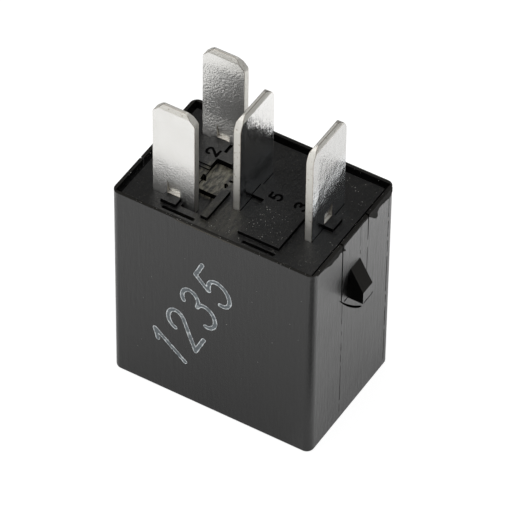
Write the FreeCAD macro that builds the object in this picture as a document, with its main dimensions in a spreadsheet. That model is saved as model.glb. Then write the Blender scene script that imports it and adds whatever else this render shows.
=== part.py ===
import FreeCAD, Part
import math
import os

import Sketcher

# Plug-in automotive relay with four blades, standing on the closed end of its cover.
# X runs along the long side, Y across it, and Z up towards the blades.
# The origin is the centre of the closed end's outer face. Lengths are in millimetres.

DRIVING_SIZES = [
    ("case_length", 23.2, "cover, outside along X"),
    ("case_width", 15.6, "cover, outside along Y"),
    ("case_height", 25.0, "closed end to rim"),
    ("wall", 0.7, "side walls of the cover"),
    ("closed_end", 0.9, "end wall of the cover"),
    ("corner_radius", 0.85, "upright outer corners of the cover"),
    ("end_round", 0.3, "outer edge round the closed end"),
    ("rim_thin", 0.35, "how much the rim is thinned from inside"),
    ("rim_depth", 1.0, "how deep the thinning reaches"),
    ("tongue_width", 5.1, "springy tongue in each short wall"),
    ("tongue_shift", 0.15, "springy tongue, off the wall's middle"),
    ("slit_width", 0.2, "slits beside the tongue"),
    ("front_slit_depth", 7.9, "front slit, down from the rim"),
    ("rear_slit_depth", 3.4, "rear slit, down from the rim"),
    ("rear_slit_end", 0.1, "width of the rear slit at its end"),
    ("undercut_lead", 0.35, "tongue's front edge to the tip of the curved cut"),
    ("undercut_drop", 7.35, "rim to the tip of the curved cut"),
    ("undercut_width", 0.36, "curved cut under the right wedge, at its widest"),
    ("undercut_rise", 4.68, "height of the curved cut"),
    ("undercut_run", 4.5, "length of the curved cut along Y"),
    ("undercut_bow", 0.36, "bow of the curved cut"),
    ("wedge_width", 1.8, "catch wedge along Y"),
    ("wedge_shift", 0.27, "catch wedge, off the tongue's middle"),
    ("wedge_proud", 1.5, "catch wedge out of the wall"),
    ("wedge_apex_drop", 4.65, "rim to the wedge's thin end"),
    ("wedge_slope_height", 2.7, "height of the wedge's slope"),
    ("wedge_face_height", 1.5, "height of the wedge's outer face"),
    ("base_fit", 0.05, "gap between base and cover all round"),
    ("base_drop", 0.5, "rim to the base's floor"),
    ("base_thick", 2.9, "thickness of the base"),
    ("pad_height", 0.45, "raised pads and the rib on the base"),
    ("step_height", 0.22, "low step before the left pad"),
    ("blade_fit", 0.04, "gap round each blade in the base"),
    ("blade_top", 36.3, "closed end to the blades' tips"),
    ("blade_thick", 0.8, "all blades"),
    ("coil_blade_width", 4.8, "blades 1 and 2"),
    ("load_blade_width", 6.3, "blades 3 and 5"),
    ("coil_blade_left", 6.05, "blades 1 and 2, left of the centre"),
    ("coil_blade_apart", 9.2, "blade 1 to blade 2, middle to middle"),
    ("common_blade_right", 8.15, "blade 3, right of the centre"),
    ("tip_cut_coil", 1.05, "corner cut of a narrow tip, across"),
    ("tip_cut_load", 0.85, "corner cut of a wide tip, across"),
    ("tip_cut_height", 1.1, "corner cut of every tip, upwards"),
    ("tip_bevel_depth", 0.24, "bevel of a tip, into the thickness"),
    ("tip_bevel_height", 0.5, "bevel of a tip, upwards"),
    ("lance_width", 1.45, "pressed lance near a blade's root"),
    ("lance_height", 1.8, "pressed lance, upwards"),
    ("lance_depth", 0.36, "pressed lance, at its lower edge"),
    ("lance_above_floor", 0.45, "base's floor to the lance"),
    ("block_width", 1.75, "locking block before each lance"),
    ("block_reach", 1.05, "locking block, out from the blade"),
    ("lug_offset", 4.58, "snap lugs, centre to each side along X"),
    ("lug_width", 3.65, "snap lug's slot along X"),
    ("lug_slot", 0.4, "snap lug's slot along Y"),
    ("lug_strip", 0.3, "springy strip outside the slot"),
    ("lug_proud", 0.25, "nub of the snap lug"),
    ("lug_height", 0.8, "nub of the snap lug, upwards"),
    ("lug_below_floor", 1.6, "base's floor to the middle of the nub"),
    ("lug_play", 0.1, "play of the nub in its recess"),
    ("prong_width", 1.0, "wire prong of a coil terminal"),
    ("prong_shift", 2.45, "prong, left of its blade's middle"),
    ("prong_length", 6.0, "prong, down from the base"),
    ("shoulder_height", 0.8, "cross bar of a coil terminal"),
    ("arm_width", 3.0, "terminal 5's arm"),
    ("arm_leg_gap", 0.5, "cover's wall to terminal 5's leg"),
    ("arm_run_below", 0.8, "base's underside channel, roof to strip middle"),
    ("foot_width", 5.0, "terminal 3's foot"),
    ("foot_length", 7.4, "base to the end of the foot"),
    ("foot_crank_drop", 3.3, "base to the foot's cranked run"),
    ("bend_inside", 0.25, "inside radius of the sharp bends"),
    ("coil_left", 2.0, "coil's axis, left of the centre"),
    ("core_radius", 2.0, "iron core's shank"),
    ("core_tail_radius", 1.6, "core's tail, riveted in the yoke"),
    ("pole_radius", 3.3, "pole face"),
    ("pole_thick", 0.6, "pole head"),
    ("pole_height", 4.0, "closed end to pole face"),
    ("core_ease", 0.1, "eased edges of the core"),
    ("bobbin_bore_fit", 0.05, "gap between core and bobbin"),
    ("bobbin_tube_wall", 0.8, "bobbin's tube"),
    ("flange_thick", 1.2, "bobbin's flanges"),
    ("flange_half_x", 5.7, "bobbin's flanges, half their size along X"),
    ("flange_half_y", 6.3, "bobbin's flanges, half their size along Y"),
    ("post_height", 2.0, "bobbin's upper flange to the base"),
    ("winding_radius", 5.3, "outside of the winding"),
    ("winding_fit", 0.03, "gap between winding and bobbin"),
    ("yoke_thick", 1.4, "yoke's iron"),
    ("yoke_width", 9.0, "yoke along Y"),
    ("yoke_gap", 0.2, "bobbin's flange to the yoke's leg"),
    ("yoke_left", 3.0, "yoke's short leg past the core's axis"),
    ("armature_thick", 1.2, "armature's iron"),
    ("armature_width", 8.0, "armature along Y"),
    ("armature_to_contact", 0.3, "armature's free end to the contacts"),
    ("armature_heel", 0.4, "bevel under the armature's hinge edge"),
    ("armature_residual", 0.05, "gap left at the pole when pulled in"),
    ("open_angle", 2.6, "armature's rest angle, in degrees"),
    ("hook_wall", 1.0, "stop hooks of the bobbin"),
    ("hook_side_gap", 0.2, "armature to each hook"),
    ("hook_lip", 0.64, "height of a hook's lip"),
    ("hook_reach", 0.9, "lip under the armature"),
    ("hook_from_tip", 0.3, "armature's free end to the hooks"),
    ("stop_gap", 0.03, "armature to the lips at rest"),
    ("spring_thick", 0.25, "contact leaf"),
    ("spring_width", 7.4, "contact leaf"),
    ("spring_tip_width", 2.8, "contact leaf at the moving contact"),
    ("spring_stand_off", 1.0, "leaf's bend, out from the yoke"),
    ("spring_bend", 1.2, "radius of the leaf's bend"),
    ("spring_to_foot", 0.5, "leaf's upper end to terminal 3's foot"),
    ("spring_window", 2.6, "window in the leaf's bend along Y"),
    ("contact_to_leg", 0.8, "contact's middle to terminal 5's leg"),
    ("contact_radius", 1.0, "contact heads"),
    ("contact_thick", 0.7, "contact heads"),
    ("contact_ease", 0.125, "eased edge of the contact heads"),
    ("contact_shank", 0.5, "contact shanks"),
    ("contact_touch", 0.03, "gap left between the contacts when closed"),
    ("rivet_head_radius", 1.0, "rivet heads"),
    ("rivet_head_thick", 0.45, "rivet heads"),
    ("rivet_shank", 0.6, "rivet shanks"),
    ("rivet_fit", 0.02, "gap round a shank"),
    ("yoke_rivet_drop", 2.5, "leaf's upper end to its rivets"),
    ("rivet_apart", 4.0, "rivet to rivet"),
    ("armature_rivet_back", 5.4, "hinge edge to the armature's rivets"),
    ("resistor_radius", 0.85, "resistor's body"),
    ("resistor_length", 3.8, "resistor's body"),
    ("resistor_drop", 5.0, "base to the resistor's axis"),
    ("lead_radius", 0.25, "resistor's wire ends"),
    ("wire_radius", 0.11, "coil's wire ends"),
    ("wire_below_flange", 0.3, "bobbin's upper flange to the wire ends"),
]

OUTPUT_FOLDER = "parts"
ROUNDING = 1e-6
MARGIN = 1.0


class Size:
    """A length together with the formula that it comes from."""

    def __init__(self, value, formula):
        self.value = value
        self.formula = formula

    def __float__(self):
        return float(self.value)

    def __neg__(self):
        return Size(-self.value, "(-%s)" % self.formula)

    def __add__(self, other):
        other = as_size(other)
        return Size(self.value + other.value, "(%s + %s)" % (self.formula, other.formula))

    def __sub__(self, other):
        other = as_size(other)
        return Size(self.value - other.value, "(%s - %s)" % (self.formula, other.formula))

    def __mul__(self, other):
        other = as_size(other)
        return Size(self.value * other.value, "(%s * %s)" % (self.formula, other.formula))

    def __truediv__(self, other):
        other = as_size(other)
        return Size(self.value / other.value, "(%s / %s)" % (self.formula, other.formula))

    def __radd__(self, other):
        return as_size(other) + self

    def __rsub__(self, other):
        return as_size(other) - self

    def __rmul__(self, other):
        return as_size(other) * self


def as_size(number):
    """A plain number as a Size."""
    if isinstance(number, Size):
        return number
    return Size(float(number), repr(float(number)))


def fill_sheet(document):
    """The spreadsheet of driving dimensions, and each one as a Size by its name."""
    sheet = document.addObject("Spreadsheet::Sheet", "Sizes")
    sizes = {}
    for row, (alias, value, note) in enumerate(DRIVING_SIZES, start=1):
        sheet.set("A%d" % row, note)
        sheet.set("B%d" % row, str(value))
        sheet.setAlias("B%d" % row, alias)
        sizes[alias] = Size(value, "Sizes.%s" % alias)
    document.recompute()
    return sizes


def bind(feature, name, size):
    """Ties a property of a feature to the sheet."""
    feature.setExpression(name, as_size(size).formula)


def new_body(label, x=0.0, y=0.0, z=0.0):
    """A body at a place of its own."""
    body = doc.addObject("PartDesign::Body", label)
    body.Label = label
    for axis, place in zip("xyz", (x, y, z)):
        if isinstance(place, Size):
            bind(body, "Placement.Base." + axis, place)
    return body


def origin_plane(body, role):
    """One of the body's own origin planes or axes."""
    for feature in body.Origin.OriginFeatures:
        if feature.Role == role:
            return feature
    raise ValueError("no origin feature " + role)


def blank_sketch(body, name, plane, offset):
    """An empty sketch on an origin plane, moved along the plane's normal."""
    sketch = body.newObject("Sketcher::SketchObject", name)
    sketch.AttachmentSupport = [(origin_plane(body, plane), "")]
    sketch.MapMode = "FlatFace"
    bind(sketch, "AttachmentOffset.Base.z", offset)
    return sketch


def pin_point(sketch, line, end, across, up):
    """Holds one end of a line, or a centre, at its distances from the sketch's origin."""
    for kind, axis, place in (("DistanceX", -2, across), ("DistanceY", -1, up)):
        if isinstance(place, Size):
            index = sketch.addConstraint(Sketcher.Constraint(kind, -1, 1, line, end, place.value))
            sketch.setExpression("Constraints[%d]" % index, place.formula)
        elif place == 0:
            sketch.addConstraint(Sketcher.Constraint("PointOnObject", line, end, axis))
        else:
            sketch.addConstraint(Sketcher.Constraint(kind, -1, 1, line, end, float(place)))


def polygon_sketch(body, name, plane, loops, offset=0.0):
    """A sketch of closed straight-sided outlines."""
    sketch = blank_sketch(body, name, plane, offset)
    for points in loops:
        first = sketch.GeometryCount
        corners = [FreeCAD.Vector(float(across), float(up), 0) for across, up in points]
        for index, corner in enumerate(corners):
            following = corners[(index + 1) % len(corners)]
            sketch.addGeometry(Part.LineSegment(corner, following), False)
        for index in range(len(points)):
            following = (index + 1) % len(points)
            sketch.addConstraint(Sketcher.Constraint("Coincident", first + index, 2, first + following, 1))
        for index, (across, up) in enumerate(points):
            pin_point(sketch, first + index, 1, across, up)
    return sketch


def circle_sketch(body, name, plane, circles, offset=0.0):
    """A sketch of circles, each given by its centre and radius."""
    sketch = blank_sketch(body, name, plane, offset)
    for across, up, radius in circles:
        centre = FreeCAD.Vector(float(across), float(up), 0)
        normal = FreeCAD.Vector(0, 0, 1)
        circle = sketch.addGeometry(Part.Circle(centre, normal, float(radius)), False)
        pin_point(sketch, circle, 3, across, up)
        index = sketch.addConstraint(Sketcher.Constraint("Radius", circle, float(radius)))
        sketch.setExpression("Constraints[%d]" % index, as_size(radius).formula)
    return sketch


def rectangle(left, right, low, high):
    """The four corners of an upright rectangle."""
    return [(left, low), (right, low), (right, high), (left, high)]


def centred(middle_across, middle_up, width, height):
    """The four corners of a rectangle about its middle."""
    return rectangle(middle_across - width / 2, middle_across + width / 2,
                     middle_up - height / 2, middle_up + height / 2)


def extrude(body, kind, name, sketch, length, side="One side", backwards=False):
    """A pad or a pocket of one sketch. A pocket has to take material away and a pad to add it."""
    before = body.Shape.Volume if body.Tip and body.Tip.isDerivedFrom("PartDesign::Feature") else 0.0
    feature = body.newObject("PartDesign::" + kind, name)
    feature.Profile = sketch
    feature.SideType = side
    feature.Reversed = backwards
    bind(feature, "Length", length)
    sketch.Visibility = False
    doc.recompute()
    after = body.Shape.Volume
    if kind == "Pad" and after <= before + ROUNDING:
        raise RuntimeError("%s of %s adds nothing" % (name, body.Label))
    if kind == "Pocket" and after >= before - ROUNDING:
        raise RuntimeError("%s of %s cuts nothing" % (name, body.Label))
    return feature


def edge_names(body, wanted):
    """The names of the body's edges that a test picks."""
    names = []
    for index, edge in enumerate(body.Shape.Edges, start=1):
        if edge.Curve.TypeId == "Part::GeomLine" and wanted(edge):
            names.append("Edge%d" % index)
    return names


def along(edge, axis):
    """Whether a straight edge runs along an axis."""
    step = edge.Vertexes[-1].Point - edge.Vertexes[0].Point
    return abs(abs(step.dot(axis)) - step.Length) < ROUNDING


def dress(body, kind, name, names, prop, size):
    """A fillet or chamfer of named edges of the body as it stands."""
    base = body.Tip
    feature = body.newObject("PartDesign::" + kind, name)
    feature.Base = (base, names)
    bind(feature, prop, size)
    doc.recompute()
    return feature


def round_edges(body, name, radius, axis, spots, kind="Fillet", prop="Radius"):
    """Rounds the edges along an axis that pass through the given spots, in the body's own frame."""
    inverse = body.Placement.inverse()

    def wanted(edge):
        if not along(edge, axis):
            return False
        middle = inverse.multVec((edge.Vertexes[0].Point + edge.Vertexes[-1].Point) / 2)
        for spot in spots:
            offset = middle - FreeCAD.Vector(*[float(place) for place in spot])
            if (offset - axis * offset.dot(axis)).Length < ROUNDING * 100:
                return True
        return False

    return dress(body, kind, name, edge_names(body, wanted), prop, radius)


def turned(body, name, points):
    """A solid of revolution about the body's own Z axis. Points are radius and height."""
    sketch = polygon_sketch(body, name + "_profile", "XZ_Plane", [points])
    feature = body.newObject("PartDesign::Revolution", name)
    feature.Profile = sketch
    feature.ReferenceAxis = (sketch, ["V_Axis"])
    feature.Angle = 360.0
    doc.recompute()
    return feature


doc = FreeCAD.newDocument("relay")
size = fill_sheet(doc)
X_AXIS = FreeCAD.Vector(1, 0, 0)
Y_AXIS = FreeCAD.Vector(0, 1, 0)
Z_AXIS = FreeCAD.Vector(0, 0, 1)

# Planes and places that several pieces share.
half_length = size["case_length"] / 2
half_width = size["case_width"] / 2
rim = size["case_height"]
room_x = half_length - size["wall"]
room_y = half_width - size["wall"]
base_x = room_x - size["base_fit"]
base_y = room_y - size["base_fit"]
floor = rim - size["base_drop"]
underside = floor - size["base_thick"]
pad_top = floor + size["pad_height"]
half_thick = size["blade_thick"] / 2
coil_blade_x = -size["coil_blade_left"]
coil_blade_y = size["coil_blade_apart"] / 2
lance_low = floor + size["lance_above_floor"]
lance_high = lance_low + size["lance_height"]
lug_middle = floor - size["lug_below_floor"]
arm_middle = underside + size["arm_run_below"] / 2 + size["blade_fit"]
yoke_end = size["pole_height"]
yoke_inner = -size["coil_left"] + size["flange_half_x"] + size["yoke_gap"]
yoke_outer = yoke_inner + size["yoke_thick"]
flange_low = size["pole_height"] + size["pole_thick"]
winding_low = flange_low + size["flange_thick"]
flange_high = underside - size["post_height"]
winding_high = flange_high - size["flange_thick"]
winding_height = winding_high - winding_low
yoke_top = flange_high + size["yoke_thick"]
hinge_height = yoke_end - size["armature_residual"]
spring_low = hinge_height - size["armature_thick"] - size["spring_thick"]
contact_face = spring_low + size["spring_thick"] + size["contact_thick"]
fixed_face = contact_face + size["contact_touch"]
arm_low = fixed_face + size["contact_thick"]
arm_leg_x = -room_x + size["arm_leg_gap"] + half_thick
contact_x = arm_leg_x + half_thick + size["contact_to_leg"]
armature_length = yoke_outer - contact_x - size["contact_radius"] - size["armature_to_contact"]
foot_low = underside - size["foot_length"]
spring_top = foot_low - size["spring_to_foot"]
yoke_rivet_z = spring_top - size["yoke_rivet_drop"]
resistor_z = underside - size["resistor_drop"]


def make_cover():
    """The cap: a drawn-out box, open at the rim, with a sprung tongue and catch in each short wall."""
    body = new_body("cover")
    outside = polygon_sketch(body, "cover_outside", "XY_Plane",
                             [rectangle(-half_length, half_length, -half_width, half_width)])
    extrude(body, "Pad", "cover_block", outside, rim)
    corners = [(x, y, 0) for x in (-half_length, half_length) for y in (-half_width, half_width)]
    round_edges(body, "cover_corners", size["corner_radius"], Z_AXIS, corners)
    lowest = [name for index, name in enumerate("Edge%d" % (n + 1) for n in range(len(body.Shape.Edges)))
              if body.Shape.Edges[index].BoundBox.ZMax < ROUNDING]
    dress(body, "Fillet", "cover_end_round", lowest, "Radius", size["end_round"])
    inside = polygon_sketch(body, "cover_inside", "XY_Plane",
                            [rectangle(-room_x, room_x, -room_y, room_y)], rim)
    extrude(body, "Pocket", "cover_room", inside, rim - size["closed_end"])
    mouth_x = room_x + size["rim_thin"]
    mouth_y = room_y + size["rim_thin"]
    mouth = polygon_sketch(body, "cover_mouth", "XY_Plane",
                           [rectangle(-mouth_x, mouth_x, -mouth_y, mouth_y)], rim)
    extrude(body, "Pocket", "cover_rim", mouth, size["rim_depth"])
    add_tongues(body)
    add_wedges(body)
    recess = [centred(side * size["lug_offset"], lug_middle, size["lug_width"] + 2 * size["lug_play"],
                      size["lug_height"] + 2 * size["lug_play"]) for side in (-1, 1)]
    recesses = polygon_sketch(body, "cover_recesses", "XZ_Plane", recess)
    reach = 2 * (base_y + size["lug_proud"] + size["lug_play"])
    extrude(body, "Pocket", "cover_lug_recesses", recesses, reach, "Symmetric")
    return body


# Along the curved cut: how far along, and how wide there. Both are shares of the whole.
UNDERCUT_SHAPE = ((0.0, 0.15), (0.1, 0.5), (0.22, 0.8), (0.36, 0.95), (0.5, 1.0), (0.64, 1.0), (0.78, 1.0),
                  (0.9, 0.9), (1.0, 0.5))


def add_tongues(body):
    """Slits on both sides of each tongue, and the curved cut at the foot of the right one."""
    front = size["tongue_shift"] - size["tongue_width"] / 2
    rear = size["tongue_shift"] + size["tongue_width"] / 2
    rear_middle = rear - size["slit_width"] / 2
    half_end = size["rear_slit_end"] / 2
    rear_end = rim - size["rear_slit_depth"]
    slits = [rectangle(front, front + size["slit_width"], rim - size["front_slit_depth"], rim),
             [(rear - size["slit_width"], rim), (rear_middle - half_end, rear_end),
              (rear_middle + half_end, rear_end), (rear, rim)]]
    sketch = polygon_sketch(body, "cover_slits", "YZ_Plane", slits)
    extrude(body, "Pocket", "cover_tongues", sketch, 2 * half_length, "Symmetric")
    low_side = []
    high_side = []
    for share, fullness in UNDERCUT_SHAPE:
        across = front - size["undercut_lead"] + size["undercut_run"] * share
        bow = size["undercut_bow"] * (4 * share * (1 - share))
        middle = rim - size["undercut_drop"] - size["undercut_rise"] * share - bow
        half = size["undercut_width"] * (fullness / 2)
        low_side.append((across, middle - half))
        high_side.append((across, middle + half))
    band = low_side + high_side[::-1]
    cut = polygon_sketch(body, "cover_undercut", "YZ_Plane", [band], half_length)
    extrude(body, "Pocket", "cover_curved_cut", cut, size["wall"])


def add_wedges(body):
    """The two catch wedges, one on each tongue, sloping out away from the blades."""
    apex = rim - size["wedge_apex_drop"]
    shoulder = apex - size["wedge_slope_height"]
    foot = shoulder - size["wedge_face_height"]
    inner = half_length - size["wall"] / 2
    outer = half_length + size["wedge_proud"]
    for side, name in ((1, "right"), (-1, "left")):
        profile = [(side * inner, foot), (side * outer, foot), (side * outer, shoulder),
                   (side * half_length, apex), (side * inner, apex)]
        sketch = polygon_sketch(body, "cover_%s_wedge_side" % name, "XZ_Plane", [profile],
                                -size["wedge_shift"])
        extrude(body, "Pad", "cover_%s_wedge" % name, sketch, size["wedge_width"], "Symmetric")


def make_base():
    """The header: a plate in the cover's mouth, with raised pads, pockets, lugs and the blades' slots."""
    body = new_body("base")
    plate = polygon_sketch(body, "base_outline", "XY_Plane", [rectangle(-base_x, base_x, -base_y, base_y)],
                           underside)
    extrude(body, "Pad", "base_plate", plate, size["base_thick"])
    add_raised_pads(body)
    add_pockets(body)
    add_lugs(body)
    slots = blade_slots(size["blade_fit"])
    through = polygon_sketch(body, "base_blade_slots", "XY_Plane", slots, pad_top)
    extrude(body, "Pocket", "base_blades", through, size["base_thick"] + size["pad_height"])
    half_arm = size["arm_width"] / 2 + size["blade_fit"]
    channel = polygon_sketch(body, "base_channel", "XY_Plane",
                             [rectangle(-base_x, half_thick, -half_arm, half_arm)], underside)
    extrude(body, "Pocket", "base_arm_channel", channel, size["arm_run_below"] + 2 * size["blade_fit"],
            backwards=True)
    return body


def blade_slots(fit):
    """The outlines of the four blades on the base, grown by a fit."""
    thick = size["blade_thick"] + 2 * fit
    narrow = size["coil_blade_width"] + 2 * fit
    wide = size["load_blade_width"] + 2 * fit
    return [centred(coil_blade_x, -coil_blade_y, narrow, thick),
            centred(coil_blade_x, coil_blade_y, narrow, thick),
            centred(size["common_blade_right"], as_size(0), thick, wide),
            centred(as_size(0), as_size(0), thick, wide)]


# Places on the base, seen from above: left, right, front and rear, or the corners one after another.
PAD_5 = (1.8, 6.5, -5.9, 5.1)
PAD_2_CORNERS = ((-7.3, 0.36), (-5.1, 0.36), (-5.1, 1.6), (-3.4, 1.6), (-3.4, 4.05), (-7.3, 4.05))
PAD_2_STEP = (-6.6, -5.1, 0.06, 0.36)
PAD_2_SLOT = ((-5.05, 2.7), (-4.73, 2.7), (-4.73, 3.95), (-5.05, 3.95))
RIB = (-2.4, -1.6, -6.0, -1.6)
UPPER_POCKET = (-5.1, -2.4, -2.35, 1.6)
UPPER_POCKET_DEPTH = 0.22
LOWER_POCKET = (-4.9, -2.4, -5.6, -2.35)
LOWER_POCKET_DEPTH = 0.85
NOTCHES = (((-2.98, -0.58), (-2.55, -1.18), (-2.33, -0.61), (-2.86, -0.33)),
           ((-2.81, 0.05), (-2.36, -0.19), (-2.05, -0.19), (-2.2, 0.25), (-2.76, 0.25)),
           ((-5.4, -0.6), (-5.27, -1.39), (-4.74, -1.15), (-5.0, -0.56)))
NOTCH_DEPTH = 0.9


def add_raised_pads(body):
    """The pads that carry the terminal numbers, and a locking block before each blade."""
    near = half_thick + size["blade_fit"]
    block = size["block_width"]
    blocks = [rectangle(near, PAD_5[0] + size["pad_height"], -block / 2, block / 2),
              rectangle(size["common_blade_right"] + near,
                        size["common_blade_right"] + near + size["block_reach"], -block / 2, block / 2),
              rectangle(coil_blade_x - block / 2, coil_blade_x + block / 2,
                        -coil_blade_y - near - size["block_reach"], -coil_blade_y - near)]
    pads = polygon_sketch(body, "base_pad_outlines", "XY_Plane",
                          [rectangle(*PAD_5), PAD_2_CORNERS], floor)
    extrude(body, "Pad", "base_pads", pads, size["pad_height"])
    step = polygon_sketch(body, "base_step_outline", "XY_Plane", [rectangle(*PAD_2_STEP)], floor)
    extrude(body, "Pad", "base_step", step, size["step_height"])
    sketch = polygon_sketch(body, "base_block_outlines", "XY_Plane", blocks, floor)
    extrude(body, "Pad", "base_blocks", sketch, size["pad_height"])


def add_pockets(body):
    """The two-step pocket where a fifth blade is left out, and the rib beside it."""
    upper = polygon_sketch(body, "base_upper_pocket", "XY_Plane", [rectangle(*UPPER_POCKET)], floor)
    extrude(body, "Pocket", "base_shallow", upper, UPPER_POCKET_DEPTH)
    lower = polygon_sketch(body, "base_lower_pocket", "XY_Plane", [rectangle(*LOWER_POCKET)], floor)
    extrude(body, "Pocket", "base_deep", lower, LOWER_POCKET_DEPTH)
    rib = polygon_sketch(body, "base_rib_outline", "XY_Plane", [rectangle(*RIB)], floor)
    extrude(body, "Pad", "base_rib", rib, size["pad_height"])
    notches = polygon_sketch(body, "base_notch_outlines", "XY_Plane", [*NOTCHES, PAD_2_SLOT], pad_top)
    extrude(body, "Pocket", "base_notches", notches, NOTCH_DEPTH + size["pad_height"])


def add_lugs(body):
    """Four springy strips along the long edges, each with a nub that snaps into the cover."""
    slot_in = base_y - size["lug_strip"] - size["lug_slot"]
    slot_out = base_y - size["lug_strip"]
    slots = []
    for side in (-1, 1):
        left = side * size["lug_offset"] - size["lug_width"] / 2
        right = side * size["lug_offset"] + size["lug_width"] / 2
        slots.append(rectangle(left, right, slot_in, slot_out))
        slots.append(rectangle(left, right, -slot_out, -slot_in))
    sketch = polygon_sketch(body, "base_lug_slots", "XY_Plane", slots, floor)
    extrude(body, "Pocket", "base_lugs", sketch, size["base_thick"])
    low = lug_middle - size["lug_height"] / 2
    high = lug_middle + size["lug_height"] / 2
    inner = base_y - size["lug_strip"] / 2
    outer = base_y + size["lug_proud"]
    for x_side, x_name in ((-1, "left"), (1, "right")):
        middle = x_side * size["lug_offset"]
        for y_side, y_name in ((-1, "front"), (1, "rear")):
            name = "base_%s_%s_nub" % (x_name, y_name)
            profile = [(y_side * inner, low), (y_side * base_y, low), (y_side * outer, high),
                       (y_side * inner, high)]
            side_view = polygon_sketch(body, name + "_side", "YZ_Plane", [profile], middle)
            extrude(body, "Pad", name, side_view, size["lug_width"] - 2 * size["lug_strip"], "Symmetric")


def blade_outline(width, cut, bottom):
    """The face of a blade: a strip whose tip has both corners cut."""
    half = width / 2
    top = size["blade_top"]
    shoulder = top - size["tip_cut_height"]
    return [(-half, bottom), (half, bottom), (half, shoulder), (half - cut, top), (-(half - cut), top),
            (-half, shoulder)]


# How much of a lance's depth stands out as a bump on the blade's other face.
BUMP_SHARE = 0.6


def finish_blade(body, label, side_plane, width, facing, lanced):
    """Bevels the tip on both faces, and presses the lance into the face that a block stands before."""
    top = size["blade_top"]
    flank = half_thick - size["tip_bevel_depth"]
    start = top - size["tip_bevel_height"]
    bevels = [[(side * half_thick, start), (side * half_thick, top), (side * flank, top)]
              for side in (-1, 1)]
    sketch = polygon_sketch(body, label + "_bevels", side_plane, bevels)
    extrude(body, "Pocket", label + "_tip", sketch, width, "Symmetric")
    if not lanced:
        return
    face = facing * half_thick
    depth = size["lance_depth"]
    hollow = [(face, lance_high), (face, lance_low), (face - facing * depth, lance_low)]
    sketch = polygon_sketch(body, label + "_lance_side", side_plane, [hollow])
    extrude(body, "Pocket", label + "_lance", sketch, size["lance_width"], "Symmetric")
    back = -facing * half_thick
    bump = [(back, lance_high), (back, lance_low), (back - facing * depth * BUMP_SHARE, lance_low)]
    sketch = polygon_sketch(body, label + "_bump_side", side_plane, [bump])
    extrude(body, "Pad", label + "_bump", sketch, size["lance_width"], "Symmetric")


def make_coil_terminal(label, side):
    """A narrow blade with a cross bar under the base and a prong that the coil's wire is wound on."""
    body = new_body(label, coil_blade_x, side * coil_blade_y)
    half = size["coil_blade_width"] / 2
    bar_low = underside - size["shoulder_height"]
    prong_left = -size["prong_shift"] - size["prong_width"] / 2
    prong_right = -size["prong_shift"] + size["prong_width"] / 2
    bar_right = half - size["prong_width"] - size["tip_cut_coil"]
    face = blade_outline(size["coil_blade_width"], size["tip_cut_coil"], underside)
    sketch = polygon_sketch(body, label + "_face", "XZ_Plane", [face])
    extrude(body, "Pad", label + "_blade", sketch, size["blade_thick"], "Symmetric")
    prong_low = underside - size["prong_length"]
    tail = [(prong_left, prong_low), (prong_right, prong_low), (prong_right, bar_low), (bar_right, bar_low),
            (bar_right, underside), (prong_left, underside)]
    sketch = polygon_sketch(body, label + "_tail_face", "XZ_Plane", [tail])
    extrude(body, "Pad", label + "_tail", sketch, size["blade_thick"], "Symmetric")
    finish_blade(body, label, "YZ_Plane", size["coil_blade_width"], -1, True)
    return body


def make_common_terminal():
    """Terminal 3: a wide blade whose foot is cranked inwards and lies on the yoke."""
    label = "terminal_3"
    body = new_body(label, size["common_blade_right"])
    face = blade_outline(size["load_blade_width"], size["tip_cut_load"], underside)
    sketch = polygon_sketch(body, label + "_face", "YZ_Plane", [face])
    extrude(body, "Pad", label + "_blade", sketch, size["blade_thick"], "Symmetric")
    foot_in = yoke_outer - size["common_blade_right"]
    foot_out = foot_in + size["blade_thick"]
    high = underside - size["foot_crank_drop"] + half_thick
    low = underside - size["foot_crank_drop"] - half_thick
    crank = [(half_thick, underside), (-half_thick, underside), (-half_thick, high), (foot_in, high),
             (foot_in, foot_low), (foot_out, foot_low), (foot_out, low), (half_thick, low)]
    sketch = polygon_sketch(body, label + "_crank_side", "XZ_Plane", [crank])
    extrude(body, "Pad", label + "_crank", sketch, size["foot_width"], "Symmetric")
    inside = size["bend_inside"]
    round_edges(body, label + "_inner_bends", inside, Y_AXIS, [(-half_thick, 0, high), (foot_out, 0, low)])
    round_edges(body, label + "_outer_bends", inside + size["blade_thick"] / 2, Y_AXIS,
                [(foot_in, 0, high), (half_thick, 0, low)])
    finish_blade(body, label, "XZ_Plane", size["load_blade_width"], 1, True)
    return body


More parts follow.
